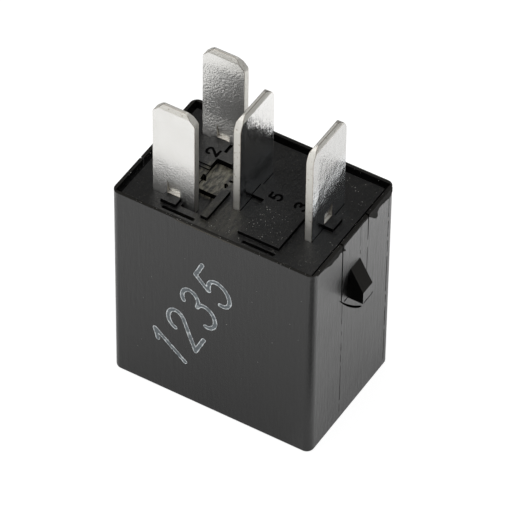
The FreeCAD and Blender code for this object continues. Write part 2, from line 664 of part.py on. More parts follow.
def make_load_terminal():
    """Terminal 5: a wide blade whose arm runs under the base, down the left side and under the coil."""
    label = "terminal_5"
    body = new_body(label)
    run_high = arm_middle + half_thick
    run_low = arm_middle - half_thick
    face = blade_outline(size["load_blade_width"], size["tip_cut_load"], run_high)
    sketch = polygon_sketch(body, label + "_face", "YZ_Plane", [face])
    extrude(body, "Pad", label + "_blade", sketch, size["blade_thick"], "Symmetric")
    leg_out = arm_leg_x - half_thick
    leg_in = arm_leg_x + half_thick
    arm_high = arm_low + size["blade_thick"]
    arm_end = contact_x + size["contact_radius"]
    side = [(-half_thick, run_high), (leg_out, run_high), (leg_out, arm_low), (arm_end, arm_low),
            (arm_end, arm_high), (leg_in, arm_high), (leg_in, run_low), (half_thick, run_low),
            (half_thick, run_high)]
    sketch = polygon_sketch(body, label + "_arm_side", "XZ_Plane", [side])
    extrude(body, "Pad", label + "_arm", sketch, size["arm_width"], "Symmetric")
    inside = size["bend_inside"]
    round_edges(body, label + "_inner_bends", inside, Y_AXIS, [(leg_in, 0, run_low), (leg_in, 0, arm_high)])
    round_edges(body, label + "_outer_bends", inside + size["blade_thick"] / 2, Y_AXIS,
                [(leg_out, 0, run_high), (leg_out, 0, arm_low), (half_thick, 0, run_low)])
    hole = circle_sketch(body, label + "_contact_hole", "XY_Plane",
                         [(contact_x, 0, size["contact_shank"] + size["rivet_fit"])], arm_high)
    extrude(body, "Pocket", label + "_hole", hole, size["blade_thick"])
    finish_blade(body, label, "XZ_Plane", size["load_blade_width"], 1, False)
    return body


def make_bobbin():
    """The coil former: a tube between two flanges, four posts to the base and two hooks for the armature."""
    body = new_body("bobbin", -size["coil_left"])
    half_x = size["flange_half_x"]
    half_y = size["flange_half_y"]
    bore = size["core_radius"] + size["bobbin_bore_fit"]
    plate = rectangle(-half_x, half_x, -half_y, half_y)
    lower = polygon_sketch(body, "bobbin_lower_outline", "XY_Plane", [plate], flange_low)
    extrude(body, "Pad", "bobbin_lower_flange", lower, size["flange_thick"])
    tube = circle_sketch(body, "bobbin_tube_outline", "XY_Plane",
                         [(0, 0, bore + size["bobbin_tube_wall"])], winding_low)
    extrude(body, "Pad", "bobbin_tube", tube, winding_height)
    upper = polygon_sketch(body, "bobbin_upper_outline", "XY_Plane", [plate], winding_high)
    extrude(body, "Pad", "bobbin_upper_flange", upper, size["flange_thick"])
    hole = circle_sketch(body, "bobbin_bore_outline", "XY_Plane", [(0, 0, bore)], flange_high)
    extrude(body, "Pocket", "bobbin_bore", hole, flange_high - flange_low)
    post_y = half_y - size["bobbin_tube_wall"]
    posts = [rectangle(x, x + size["flange_thick"], y, y + size["bobbin_tube_wall"])
             for x in (-half_x, half_x - size["flange_thick"]) for y in (-half_y, post_y)]
    sketch = polygon_sketch(body, "bobbin_post_outlines", "XY_Plane", posts, flange_high)
    extrude(body, "Pad", "bobbin_posts", sketch, underside - flange_high)
    add_stop_hooks(body)
    corners = [(x, y, 0) for x in (-half_x, half_x) for y in (-half_y, half_y)]
    round_edges(body, "bobbin_corners", size["bobbin_tube_wall"] / 2, Z_AXIS, corners)
    return body


def rest_height(behind_hinge, below_hinge):
    """The height, at rest, of a point of the armature given from its hinge edge."""
    angle = math.radians(float(size["open_angle"]))
    drop = float(behind_hinge) * math.sin(angle) + float(below_hinge) * math.cos(angle)
    return float(hinge_height) - drop


def add_stop_hooks(body):
    """Two hooks that reach down beside the armature's free end and under it, and stop it at rest."""
    tip = yoke_outer + size["coil_left"] - armature_length
    hook_left = tip + size["hook_from_tip"]
    inner = size["armature_width"] / 2 + size["hook_side_gap"]
    outer = inner + size["hook_wall"]
    lip_high = rest_height(armature_length, size["armature_thick"]) - float(size["stop_gap"])
    lip_low = lip_high - float(size["hook_lip"])
    lip_in = inner - size["hook_reach"]
    for side, name in ((-1, "front"), (1, "rear")):
        hook = [(side * inner, flange_low), (side * outer, flange_low), (side * outer, lip_low),
                (side * lip_in, lip_low), (side * lip_in, lip_high), (side * inner, lip_high)]
        sketch = polygon_sketch(body, "bobbin_%s_hook_face" % name, "YZ_Plane", [hook], hook_left)
        extrude(body, "Pad", "bobbin_%s_hook" % name, sketch, size["hook_wall"])


def make_winding():
    """The wound wire, as one ring with its edges eased."""
    body = new_body("winding", -size["coil_left"], 0.0, winding_low + size["winding_fit"])
    inner = size["core_radius"] + size["bobbin_bore_fit"] + size["bobbin_tube_wall"] + size["winding_fit"]
    outer = size["winding_radius"]
    high = winding_height - 2 * size["winding_fit"]
    ease = size["wire_radius"] * 2
    turned(body, "winding_ring", [(inner, 0), (outer - ease, 0), (outer, ease), (outer, high - ease),
                                  (outer - ease, high), (inner, high)])
    return body


def make_core():
    """The core: pole head, shank and the tail that is riveted in the yoke."""
    body = new_body("core", -size["coil_left"])
    ease = size["core_ease"]
    face = size["pole_height"]
    tail = size["core_tail_radius"]
    turned(body, "core_turning", [(0, face), (size["pole_radius"] - ease, face),
                                  (size["pole_radius"], face + ease), (size["pole_radius"], flange_low),
                                  (size["core_radius"], flange_low), (size["core_radius"], flange_high),
                                  (tail, flange_high), (tail, yoke_top - ease), (tail - ease, yoke_top),
                                  (0, yoke_top)])
    return body


def make_yoke():
    """The iron bracket: a short leg over the coil and a long one beside it, down to the hinge edge."""
    body = new_body("yoke")
    left = -size["coil_left"] - size["yoke_left"]
    side = [(left, flange_high), (yoke_inner, flange_high), (yoke_inner, yoke_end), (yoke_outer, yoke_end),
            (yoke_outer, yoke_top), (left, yoke_top)]
    sketch = polygon_sketch(body, "yoke_side", "XZ_Plane", [side])
    extrude(body, "Pad", "yoke_bracket", sketch, size["yoke_width"], "Symmetric")
    round_edges(body, "yoke_bend", size["yoke_thick"], Y_AXIS, [(yoke_outer, 0, yoke_top)])
    hole = circle_sketch(body, "yoke_core_hole", "XY_Plane",
                         [(-size["coil_left"], 0, size["core_tail_radius"] + size["rivet_fit"])], yoke_top)
    extrude(body, "Pocket", "yoke_core_seat", hole, size["yoke_thick"])
    shank = size["rivet_shank"] + size["rivet_fit"]
    holes = [(side * size["rivet_apart"] / 2, yoke_rivet_z, shank) for side in (-1, 1)]
    sketch = circle_sketch(body, "yoke_rivet_outlines", "YZ_Plane", holes, yoke_outer)
    extrude(body, "Pocket", "yoke_rivet_holes", sketch, size["yoke_thick"])
    return body


def tilt_to_rest(body, label):
    """Moves a piece of the armature's group from its pulled-in place to its place at rest."""
    body.Placement = FreeCAD.Placement(FreeCAD.Vector(float(yoke_outer), 0, float(hinge_height)),
                                       FreeCAD.Rotation(-Y_AXIS, float(size["open_angle"])))
    bind(body, "Placement.Base.x", yoke_outer)
    bind(body, "Placement.Base.z", hinge_height)
    bind(body, "Placement.Rotation.Angle", size["open_angle"])
    body.Label = label


def make_armature():
    """The hinged plate, drawn from its hinge edge, which is the body's own origin."""
    body = new_body("armature")
    long = armature_length
    half = size["armature_width"] / 2
    thick = size["armature_thick"]
    cut = size["hook_from_tip"]
    plan = [(-long, -(half - cut)), (-(long - cut), -half), (0, -half), (0, half), (-(long - cut), half),
            (-long, half - cut)]
    sketch = polygon_sketch(body, "armature_plan", "XY_Plane", [plan])
    extrude(body, "Pad", "armature_plate", sketch, thick, backwards=True)
    round_edges(body, "armature_heel", size["armature_heel"], Y_AXIS, [(0, 0, -thick)], "Chamfer", "Size")
    shank = size["rivet_shank"] + size["rivet_fit"]
    holes = [(-size["armature_rivet_back"], side * size["rivet_apart"] / 2, shank) for side in (-1, 1)]
    sketch = circle_sketch(body, "armature_rivet_outlines", "XY_Plane", holes)
    extrude(body, "Pocket", "armature_rivet_holes", sketch, thick)
    tilt_to_rest(body, "armature")
    return body


def bent_strip(points, radii, thick, width):
    """A strip of one thickness that follows points in the XZ plane, with an arc at each inner point."""
    vectors = [FreeCAD.Vector(x, 0, z) for x, z in points]
    sides = {1: [], -1: []}
    for index, point in enumerate(vectors):
        if index in (0, len(vectors) - 1):
            neighbour = vectors[1] if index == 0 else vectors[-2]
            forward = (neighbour - point) if index == 0 else (point - neighbour)
            forward.normalize()
            normal = FreeCAD.Vector(-forward.z, 0, forward.x)
            for side in (1, -1):
                sides[side].append((point + normal * (side * thick / 2),))
            continue
        back = (vectors[index - 1] - point).normalize()
        ahead = (vectors[index + 1] - point).normalize()
        half_turn = (math.pi - back.getAngle(ahead)) / 2
        reach = radii[index - 1] * math.tan(half_turn)
        bisector = (back + ahead).normalize()
        centre = point + bisector * (radii[index - 1] / math.cos(half_turn))
        normal = FreeCAD.Vector(back.z, 0, -back.x)
        for side in (1, -1):
            start = point + back * reach + normal * (side * thick / 2)
            ahead_normal = FreeCAD.Vector(-ahead.z, 0, ahead.x)
            finish = point + ahead * reach + ahead_normal * (side * thick / 2)
            through = centre - bisector * (start - centre).Length
            sides[side].append((start, through, finish))
    edges = []
    for side in (1, -1):
        runs = sides[side]
        for index, run in enumerate(runs):
            if len(run) == 3:
                edges.append(Part.Arc(*run).toShape())
            if index + 1 < len(runs):
                edges.append(Part.LineSegment(run[-1], runs[index + 1][0]).toShape())
    edges.append(Part.LineSegment(sides[1][0][0], sides[-1][0][0]).toShape())
    edges.append(Part.LineSegment(sides[1][-1][0], sides[-1][-1][0]).toShape())
    wire = Part.Wire(Part.__sortEdges__(edges))
    solid = Part.Face(wire).extrude(FreeCAD.Vector(0, width, 0))
    solid.translate(FreeCAD.Vector(0, -width / 2, 0))
    return solid


def at_rest(behind_hinge, below_hinge):
    """The place, at rest, of a point of the armature's group given from its hinge edge."""
    angle = math.radians(float(size["open_angle"]))
    x = float(yoke_outer) - behind_hinge * math.cos(angle) + below_hinge * math.sin(angle)
    return x, rest_height(behind_hinge, below_hinge)


# The leaf leaves the yoke this many bend radii above the hinge edge.
# It ends this many contact radii past the contact's middle.
LEAF_LEAVES = 2.5
LEAF_PAST_CONTACT = 1.35


def make_contact_spring():
    """The leaf: upright on the yoke, bent round the hinge, and along under the armature to the contact."""
    thick = float(size["spring_thick"])
    on_yoke = float(yoke_outer) + thick / 2
    off_yoke = on_yoke + float(size["spring_stand_off"])
    top = float(spring_top)
    leave = float(yoke_end) + LEAF_LEAVES * float(size["spring_bend"])
    below = float(size["armature_thick"]) + thick / 2
    end = float(yoke_outer - contact_x) + float(size["contact_radius"]) * LEAF_PAST_CONTACT
    tilt = math.radians(float(size["open_angle"]))
    behind = (float(yoke_outer) - off_yoke + below * math.sin(tilt)) / math.cos(tilt)
    corner_z = rest_height(behind, below)
    points = [(on_yoke, top), (on_yoke, leave), (off_yoke, leave - float(size["spring_bend"])),
              (off_yoke, corner_z), at_rest(end, below)]
    small = float(size["spring_bend"]) / 2
    leaf = bent_strip(points, [small, small, float(size["spring_bend"])], thick, float(size["spring_width"]))
    window = float(size["spring_window"])
    hole = Part.makeBox(3 * float(size["spring_stand_off"]), window, leave - corner_z,
                        FreeCAD.Vector(float(yoke_outer) + thick + ROUNDING, -window / 2, corner_z))
    leaf = leaf.cut(hole)
    armature_tip = float(yoke_outer - armature_length)
    half = float(size["spring_width"]) / 2
    slim = float(size["spring_tip_width"]) / 2
    far = float(yoke_outer) - end - MARGIN
    for side in (-1, 1):
        corners = [(armature_tip + 2 * half, half), (armature_tip + half, slim), (far, slim),
                   (far, half + MARGIN), (armature_tip + 2 * half, half + MARGIN)]
        outline = [FreeCAD.Vector(x, side * y, 0) for x, y in corners]
        flat = Part.Face(Part.makePolygon(outline + outline[:1]))
        leaf = leaf.cut(flat.extrude(FreeCAD.Vector(0, 0, float(yoke_end))))
    shank = float(size["rivet_shank"]) + float(size["rivet_fit"])
    for side in (-1, 1):
        across = side * float(size["rivet_apart"]) / 2
        seat = FreeCAD.Vector(float(yoke_outer) - MARGIN, across, float(yoke_rivet_z))
        leaf = leaf.cut(Part.makeCylinder(shank, 2 * MARGIN, seat, X_AXIS))
        x, z = at_rest(float(size["armature_rivet_back"]), below)
        leaf = leaf.cut(tilted_cylinder(shank, MARGIN, x, across, z))
    x, z = at_rest(float(yoke_outer - contact_x), below)
    shank = float(size["contact_shank"]) + float(size["rivet_fit"])
    leaf = leaf.cut(tilted_cylinder(shank, MARGIN, x, 0, z))
    feature = doc.addObject("Part::Feature", "contact_spring")
    feature.Shape = leaf.removeSplitter()
    feature.Label = "contact_spring"
    return feature


def tilted_cylinder(radius, height, x, y, z):
    """A cylinder across the armature's group at rest, centred on a point."""
    angle = math.radians(float(size["open_angle"]))
    direction = FreeCAD.Vector(-math.sin(angle), 0, math.cos(angle))
    return Part.makeCylinder(radius, height, FreeCAD.Vector(x, y, z) - direction * (height / 2), direction)


def make_moving_contact():
    """The contact on the leaf: a domed head above, a shank through the leaf and a small tail below."""
    body = new_body("moving_contact")
    below = size["armature_thick"]
    back = yoke_outer - contact_x
    thick = size["spring_thick"]
    tail = size["contact_thick"] / 2
    ease = size["contact_ease"]
    radius = size["contact_radius"]
    shank = size["contact_shank"]
    head = size["contact_thick"]
    profile = [(-back, -below - thick - tail), (-back + shank + ease, -below - thick - tail),
               (-back + shank + ease, -below - thick), (-back + shank, -below - thick),
               (-back + shank, -below), (-back + radius, -below), (-back + radius, -below + head - ease),
               (-back + radius - ease, -below + head), (-back, -below + head)]
    sketch = polygon_sketch(body, "moving_contact_profile", "XZ_Plane", [profile])
    line = sketch.addGeometry(Part.LineSegment(FreeCAD.Vector(-float(back), -1, 0),
                                               FreeCAD.Vector(-float(back), 1, 0)), True)
    pin_point(sketch, line, 1, -back, -below)
    pin_point(sketch, line, 2, -back, below)
    feature = body.newObject("PartDesign::Revolution", "moving_contact_turning")
    feature.Profile = sketch
    feature.ReferenceAxis = (sketch, ["Axis0"])
    feature.Angle = 360.0
    doc.recompute()
    tilt_to_rest(body, "moving_contact")
    return body


def make_fixed_contact():
    """The contact riveted in terminal 5's arm, facing the moving one."""
    body = new_body("fixed_contact", contact_x)
    ease = size["contact_ease"]
    radius = size["contact_radius"]
    shank = size["contact_shank"]
    turned(body, "fixed_contact_turning", [(0, fixed_face), (radius - ease, fixed_face),
                                           (radius, fixed_face + ease), (radius, arm_low), (shank, arm_low),
                                           (shank, arm_low + size["blade_thick"]),
                                           (0, arm_low + size["blade_thick"])])
    return body


# Width of a rivet head's flat top.
HEAD_TAPER = 0.75


def make_rivets(label, head_at, direction, shank_length):
    """A pair of like rivets on one piece. Each has a domed head and a shank."""
    rivets = []
    for side in (-1, 1):
        across = FreeCAD.Vector(0, side * float(size["rivet_apart"]) / 2, 0)
        seat = head_at + across
        head = Part.makeCone(float(size["rivet_head_radius"]), float(size["rivet_head_radius"]) * HEAD_TAPER,
                             float(size["rivet_head_thick"]), seat, direction)
        shank = Part.makeCylinder(float(size["rivet_shank"]), shank_length, seat, -direction)
        rivets.append(head.fuse(shank).removeSplitter())
    feature = doc.addObject("Part::Feature", label)
    feature.Shape = Part.makeCompound(rivets)
    feature.Label = label
    return feature


def make_yoke_rivets():
    """The two rivets that hold the leaf on the yoke."""
    thick = float(size["spring_thick"])
    seat = FreeCAD.Vector(float(yoke_outer) + thick, 0, float(yoke_rivet_z))
    return make_rivets("yoke_rivets", seat, X_AXIS, thick + float(size["yoke_thick"]))


def make_armature_rivets():
    """The two rivets that hold the leaf on the armature, flush on its upper face."""
    angle = math.radians(float(size["open_angle"]))
    direction = FreeCAD.Vector(math.sin(angle), 0, -math.cos(angle))
    length = float(size["armature_thick"]) + float(size["spring_thick"])
    x, z = at_rest(float(size["armature_rivet_back"]), length)
    return make_rivets("armature_rivets", FreeCAD.Vector(x, 0, z), direction, length)


# The resistor's waist and each of its end caps, as shares of its radius and its length.
WAIST_SHARE = 0.88
CAP_SHARE = 0.2


def make_resistor():
    """The suppression resistor, lying across between the two coil terminals' prongs."""
    body = new_body("resistor", coil_blade_x - size["prong_shift"], 0.0, resistor_z)
    half = size["resistor_length"] / 2
    radius = size["resistor_radius"]
    waist = radius * WAIST_SHARE
    cap = size["resistor_length"] * CAP_SHARE
    ease = size["lead_radius"] / 2
    points = [(-half, 0), (-half, radius - ease), (-half + ease, radius), (-half + cap, radius),
              (-half + cap + ease, waist), (half - cap - ease, waist), (half - cap, radius),
              (half - ease, radius), (half, radius - ease), (half, 0)]
    sketch = polygon_sketch(body, "resistor_profile", "YZ_Plane", [points])
    feature = body.newObject("PartDesign::Revolution", "resistor_turning")
    feature.Profile = sketch
    feature.ReferenceAxis = (sketch, ["H_Axis"])
    feature.Angle = 360.0
    doc.recompute()
    return body


def make_resistor_leads():
    """The resistor's two wire ends, each from its cap to the inner face of a prong."""
    start = float(size["resistor_length"]) / 2
    end = float(coil_blade_y) - float(half_thick)
    x = float(coil_blade_x) - float(size["prong_shift"])
    z = float(resistor_z)
    leads = []
    for side in (-1, 1):
        foot = FreeCAD.Vector(x, side * start, z)
        leads.append(Part.makeCylinder(float(size["lead_radius"]), end - start, foot, Y_AXIS * side))
    feature = doc.addObject("Part::Feature", "resistor_leads")
    feature.Shape = Part.makeCompound(leads)
    feature.Label = "resistor_leads"
    return feature


# The wire round a prong: how far out it lies and the step of its turns, in wire radii.
# Then the number of its turns and the sides of its section.
WIRE_LIFT = 1.3
WIRE_PITCH = 3
WIRE_TURNS = 3
WIRE_SIDES = 8
# Where the wire leaves the winding: how far out, in wire radii, and at which angle.
WIRE_OUT = 0.4
WIRE_SPREAD = 38


def make_coil_lead(label, side):
    """A wire end of the winding, led to a prong and wound round it."""
    wire = float(size["wire_radius"])
    prong_x = float(coil_blade_x) - float(size["prong_shift"])
    prong_y = side * float(coil_blade_y)
    reach_x = float(size["prong_width"]) / 2 + WIRE_LIFT * wire
    reach_y = float(half_thick) + WIRE_LIFT * wire
    pitch = WIRE_PITCH * wire
    level = float(winding_high) - float(size["wire_below_flange"])
    around = [(1, -side), (1, side), (-1, side), (-1, -side)]
    points = []
    for turn in range(WIRE_TURNS):
        for corner, (across, depth) in enumerate(around):
            points.append(FreeCAD.Vector(prong_x + across * reach_x, prong_y + depth * reach_y,
                                         level + pitch * (turn + corner / len(around))))
    spread = math.radians(WIRE_SPREAD)
    radius = float(size["winding_radius"]) + WIRE_OUT * wire
    centre_x = -float(size["coil_left"])
    leave = FreeCAD.Vector(centre_x - radius * math.cos(spread), side * radius * math.sin(spread), level)
    path = Part.makePolygon([leave] + points)
    across = (points[0] - leave).cross(Z_AXIS).normalize()
    upward = across.cross(points[0] - leave).normalize()
    rim_points = []
    for step in range(WIRE_SIDES + 1):
        turn = 2 * math.pi * step / WIRE_SIDES
        rim_points.append(leave + across * (wire * math.cos(turn)) + upward * (wire * math.sin(turn)))
    ring = Part.makePolygon(rim_points)
    shape = path.makePipeShell([ring], True, False, 1)
    feature = doc.addObject("Part::Feature", label)
    feature.Shape = shape
    feature.Label = label
    return feature


def check_and_write(pieces):
    """Stops at anything that failed, and otherwise writes one file for each piece."""
    doc.recompute()
    for feature in doc.Objects:
        if "Invalid" in feature.State or "Error" in feature.State:
            raise RuntimeError("%s is in state %s" % (feature.Label, feature.State))
    os.makedirs(OUTPUT_FOLDER, exist_ok=True)
    for piece in pieces:
        shape = piece.Shape
        if shape.isNull() or not shape.isValid() or not shape.Solids:
            raise RuntimeError("%s has no valid solid" % piece.Label)
    for piece in pieces:
        piece.Shape.exportStep(os.path.join(OUTPUT_FOLDER, piece.Label + ".step"))
        print("%-18s %2d solid  %9.3f mm3" % (piece.Label, len(piece.Shape.Solids), piece.Shape.Volume))


all_pieces = [
    make_cover(),
    make_base(),
    make_coil_terminal("terminal_1", -1),
    make_coil_terminal("terminal_2", 1),
    make_common_terminal(),
    make_load_terminal(),
    make_bobbin(),
    make_winding(),
    make_coil_lead("coil_lead_front", -1),
    make_coil_lead("coil_lead_rear", 1),
    make_core(),
    make_yoke(),
    make_armature(),
    make_contact_spring(),
    make_yoke_rivets(),
    make_armature_rivets(),
    make_moving_contact(),
    make_fixed_contact(),
    make_resistor(),
    make_resistor_leads(),
]
check_and_write(all_pieces)
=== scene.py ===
import math

import bmesh
import bpy
import numpy as np
from mathutils import Matrix, Vector


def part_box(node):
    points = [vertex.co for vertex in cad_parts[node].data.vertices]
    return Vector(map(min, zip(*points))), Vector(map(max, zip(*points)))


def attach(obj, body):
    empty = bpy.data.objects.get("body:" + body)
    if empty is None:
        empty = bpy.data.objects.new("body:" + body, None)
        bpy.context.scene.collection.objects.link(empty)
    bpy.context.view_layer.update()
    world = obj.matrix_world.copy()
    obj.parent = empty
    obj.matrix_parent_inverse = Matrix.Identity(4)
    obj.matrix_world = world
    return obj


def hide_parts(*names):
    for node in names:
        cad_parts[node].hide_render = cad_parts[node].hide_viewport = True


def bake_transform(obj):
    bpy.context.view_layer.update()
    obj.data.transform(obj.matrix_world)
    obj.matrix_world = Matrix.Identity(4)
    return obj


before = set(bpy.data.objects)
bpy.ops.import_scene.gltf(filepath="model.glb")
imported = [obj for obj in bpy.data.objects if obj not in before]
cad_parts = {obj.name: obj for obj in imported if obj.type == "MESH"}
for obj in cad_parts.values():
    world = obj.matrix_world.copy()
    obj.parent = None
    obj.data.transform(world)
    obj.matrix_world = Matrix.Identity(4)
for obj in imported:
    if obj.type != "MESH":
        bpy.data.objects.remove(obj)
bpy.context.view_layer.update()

# Looks of the plug-in relay. Lengths are in millimetres, and turned into metres where a mesh is finished.
# Only the floor and the camera's place are given in metres.
MM = 0.001
PER_METRE = 1000.0
HOUSING = "housing"
random = np.random.default_rng(7)

# Faces that the details lie on. The cover's box ends at its wedges, so the right wall's outer face is found
# from the base's end and the wall's thickness. The base's top is that of its pads, which stand on its floor.
WALL_THICK = 0.75
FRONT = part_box("cover")[0].y / MM
RIGHT_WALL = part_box("base")[1].x / MM + WALL_THICK
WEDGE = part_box("cover")[1].x / MM
RIM_TOP = 25.0
BASE_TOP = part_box("base")[1].z / MM
PAD_HEIGHT = 0.45


# Node helpers

def new_material(name):
    material = bpy.data.materials.new(name)
    material.use_nodes = True
    material.node_tree.nodes.clear()
    return material, material.node_tree


def add(tree, kind, inputs=None, **settings):
    """A new node. Each of its inputs is a value, or the output of another node."""
    node = tree.nodes.new(kind)
    for key, value in settings.items():
        setattr(node, key, value)
    for key, value in (inputs or {}).items():
        if isinstance(value, bpy.types.NodeSocket):
            tree.links.new(value, node.inputs[key])
        else:
            node.inputs[key].default_value = value
    return node


def place_mm(tree, stretch=(1, 1, 1), turn=(0, 0, 0)):
    """Object coordinates in millimetres. A pattern grows longer along an axis with a stretch below 1."""
    where = add(tree, "ShaderNodeTexCoord")
    return add(tree, "ShaderNodeMapping", {
        "Vector": where.outputs["Object"],
        "Rotation": turn,
        "Scale": tuple(PER_METRE * value for value in stretch),
    }).outputs["Vector"]


def axis_of(tree, vector, axis):
    return add(tree, "ShaderNodeSeparateXYZ", {0: vector}).outputs[axis]


def noise(tree, vector, scale, detail=3.0, rough=0.55):
    return add(tree, "ShaderNodeTexNoise", {
        "Vector": vector, "Scale": scale, "Detail": detail, "Roughness": rough,
    }).outputs["Fac"]


def spread(tree, value, low, high, to_low=0.0, to_high=1.0, kind="LINEAR"):
    return add(tree, "ShaderNodeMapRange", {
        "Value": value, "From Min": low, "From Max": high, "To Min": to_low, "To Max": to_high,
    }, interpolation_type=kind).outputs["Result"]


def varied(tree, pattern, low, high):
    """A noise, most of which lies between 0.3 and 0.7, as values from low to high."""
    return spread(tree, pattern, 0.3, 0.7, low, high)


def math_node(tree, operation, first, second):
    return add(tree, "ShaderNodeMath", {0: first, 1: second}, operation=operation).outputs[0]


def round_about(tree, place, middle, near, far, inside, outside, kind="SMOOTHSTEP"):
    """A value that goes from inside to outside between two distances from a point."""
    away = add(tree, "ShaderNodeVectorMath", {0: place, 1: middle}, operation="DISTANCE").outputs["Value"]
    return spread(tree, away, near, far, inside, outside, kind)


def band(tree, value, middle, half, height=1.0):
    """The height in the middle of a band, falling softly to nothing at its ends."""
    away = math_node(tree, "ABSOLUTE", math_node(tree, "SUBTRACT", value, middle), 0.0)
    pulse = spread(tree, away, 0.0, half, 1.0, 0.0, "SMOOTHSTEP")
    return pulse if height == 1.0 else math_node(tree, "MULTIPLY", pulse, height)


def mix_colour(tree, amount, first, second):
    return add(tree, "ShaderNodeMix", {0: amount, 6: first, 7: second}, data_type="RGBA").outputs[2]


def shade(tree, level, scale=1.0):
    """A grey of the given level."""
    value = math_node(tree, "MULTIPLY", level, scale)
    return add(tree, "ShaderNodeCombineXYZ", {0: value, 1: value, 2: value}).outputs[0]


def grey(value):
    return (value, value, value, 1.0)


def bump(tree, height, distance_mm, strength=1.0, normal=None):
    inputs = {"Height": height, "Distance": distance_mm * MM, "Strength": strength}
    if normal is not None:
        inputs["Normal"] = normal
    return add(tree, "ShaderNodeBump", inputs).outputs["Normal"]


def surface(tree, inputs):
    shader = add(tree, "ShaderNodeBsdfPrincipled", inputs)
    add(tree, "ShaderNodeOutputMaterial", {"Surface": shader.outputs["BSDF"]})


# Materials

# The plastic is nearly black: what it shows is what it mirrors.
BLACK = (0.0026, 0.0026, 0.0026, 1)
WARM_BLACK = (0.0042, 0.0040, 0.0036, 1)
PLASTIC_IOR = 1.53


def black_plastic(name):
    """Smooth moulded black plastic with a faint upright drag texture."""
    material, tree = new_material(name)
    even = place_mm(tree)
    upright = place_mm(tree, (1, 1, 0.05))
    leaning = place_mm(tree, (1, 1, 0.3), (0.25, 0, 0))
    patch = noise(tree, even, 0.35, 2.0)
    normal = bump(tree, noise(tree, upright, 3.2, 4.0, 0.65), 0.034, 0.8)
    normal = bump(tree, noise(tree, leaning, 2.4, 4.0, 0.7), 0.036, 0.9, normal)
    normal = bump(tree, noise(tree, even, 5.0, 3.0, 0.6), 0.026, 0.8, normal)
    surface(tree, {
        "Base Color": mix_colour(tree, patch, BLACK, WARM_BLACK),
        "Roughness": varied(tree, patch, 0.20, 0.27),
        "IOR": PLASTIC_IOR,
        "Normal": normal,
    })
    return material


# Brownish places on the base: middle, reach, strength. The first, in the large recess, is painted light that
# the blades throw into it; the second is a scuff. A patch is at its strongest up to this share of its reach,
# and above the recess, between these heights, it falls to no more than the other share.
SCUFF_AND_LIGHT_PATCHES = (((-3.75, -0.4, 23.9), 2.5, 1.2), ((-0.6, -5.4, 24.5), 3.2, 0.06))
PATCH_CORE = 0.55
SCUFF_AND_LIGHT_BROWN = (0.26, 0.243, 0.18, 1)
RECESS_TOP = (24.2, 24.3)
MOST_ABOVE = 0.16


def scuffed_plastic(name):
    """The base's plastic: duller, with a coarse grain, fine scratches, a brownish scuff and painted light in
    the recess.
    """
    material, tree = new_material(name)
    even = place_mm(tree)
    across = place_mm(tree, (1, 0.35, 1), (0, 0, 0.9))
    grain = noise(tree, even, 4.0, 4.0, 0.65)
    scratches = noise(tree, across, 3.0, 4.0, 0.7)
    scuffed = 0.0
    # The first patch paints the light that the blades throw into the recess; the second is a scuff.
    for middle, reach, strength in SCUFF_AND_LIGHT_PATCHES:
        place = round_about(tree, even, middle, PATCH_CORE * reach, reach, strength, 0.0)
        scuffed = math_node(tree, "ADD", scuffed, place)
    most = spread(tree, axis_of(tree, even, "Z"), *RECESS_TOP, 1.0, MOST_ABOVE)
    scuffed = math_node(tree, "MINIMUM", scuffed, most)
    scuffed = math_node(tree, "MULTIPLY", scuffed, spread(tree, scratches, 0.40, 0.60, 0.1, 1.9))
    specks = spread(tree, noise(tree, even, 7.5, 2.0), 0.60, 0.74, 0.0, 0.21)
    scuffed = math_node(tree, "MAXIMUM", scuffed, specks)
    normal = bump(tree, grain, 0.05, 0.8)
    normal = bump(tree, scratches, 0.07, 0.9, normal)
    surface(tree, {
        "Base Color": mix_colour(tree, scuffed, BLACK, SCUFF_AND_LIGHT_BROWN),
        "Roughness": varied(tree, grain, 0.30, 0.42),
        "IOR": PLASTIC_IOR,
        "Normal": normal,
    })
    return material


# On the narrow blades: the heights between which the lumpy grain changes from the root's to the upper part's,
# fades towards the tip, and the plating gets glossier; and the bands, as middle and half height, in which the
# face rolls back at the tip and leans near the root.
GRAIN_CHANGE = (26.5, 30.0)
GRAIN_FADE = (34.0, 35.4)
GLOSS_CHANGE = (26.0, 31.0)
TIP_ROLL = (37.0, 3.0)
ROOT_LEAN = (24.5, 3.6)


def dull_tin(name, upper_grain, lean_mm):
    """Matt tin plating of a narrow blade, with soft dull patches and a lumpy grain."""
    material, tree = new_material(name)
    even = place_mm(tree)
    height = axis_of(tree, even, "Z")
    lumps = noise(tree, even, 4.6, 3.0, 0.6)
    strength = spread(tree, height, *GRAIN_CHANGE, 2.2, upper_grain, "SMOOTHSTEP")
    lumps = math_node(tree, "MULTIPLY", lumps, strength)
    lumps = math_node(tree, "MULTIPLY", lumps, spread(tree, height, *GRAIN_FADE, 1.0, 0.35, "SMOOTHSTEP"))
    normal = bump(tree, band(tree, height, *TIP_ROLL, -1.0), 0.35, 1.0)
    normal = bump(tree, band(tree, height, *ROOT_LEAN), lean_mm, 1.0, normal)
    dull = spread(tree, noise(tree, even, 0.9, 3.0), 0.35, 0.7)
    surface(tree, {
        "Base Color": mix_colour(tree, dull, (0.80, 0.79, 0.76, 1), (0.74, 0.73, 0.695, 1)),
        "Metallic": 1.0,
        "Roughness": spread(tree, height, *GLOSS_CHANGE, 0.27, 0.12, "SMOOTHSTEP"),
        "Coat Weight": 1.0,
        "Coat IOR": 3.2,
        "Coat Roughness": 0.5,
        "Normal": bump(tree, lumps, 0.075, 0.9, normal),
    })
    return material


# On the wide blades: the band along Y, as middle and half width, in which the front edge rolls back, and the
# heights between which the colour changes from the root's to the tip's.
EDGE_ROLL = (-3.2, 1.3)
COLOUR_CHANGE = (27.0, 32.0)


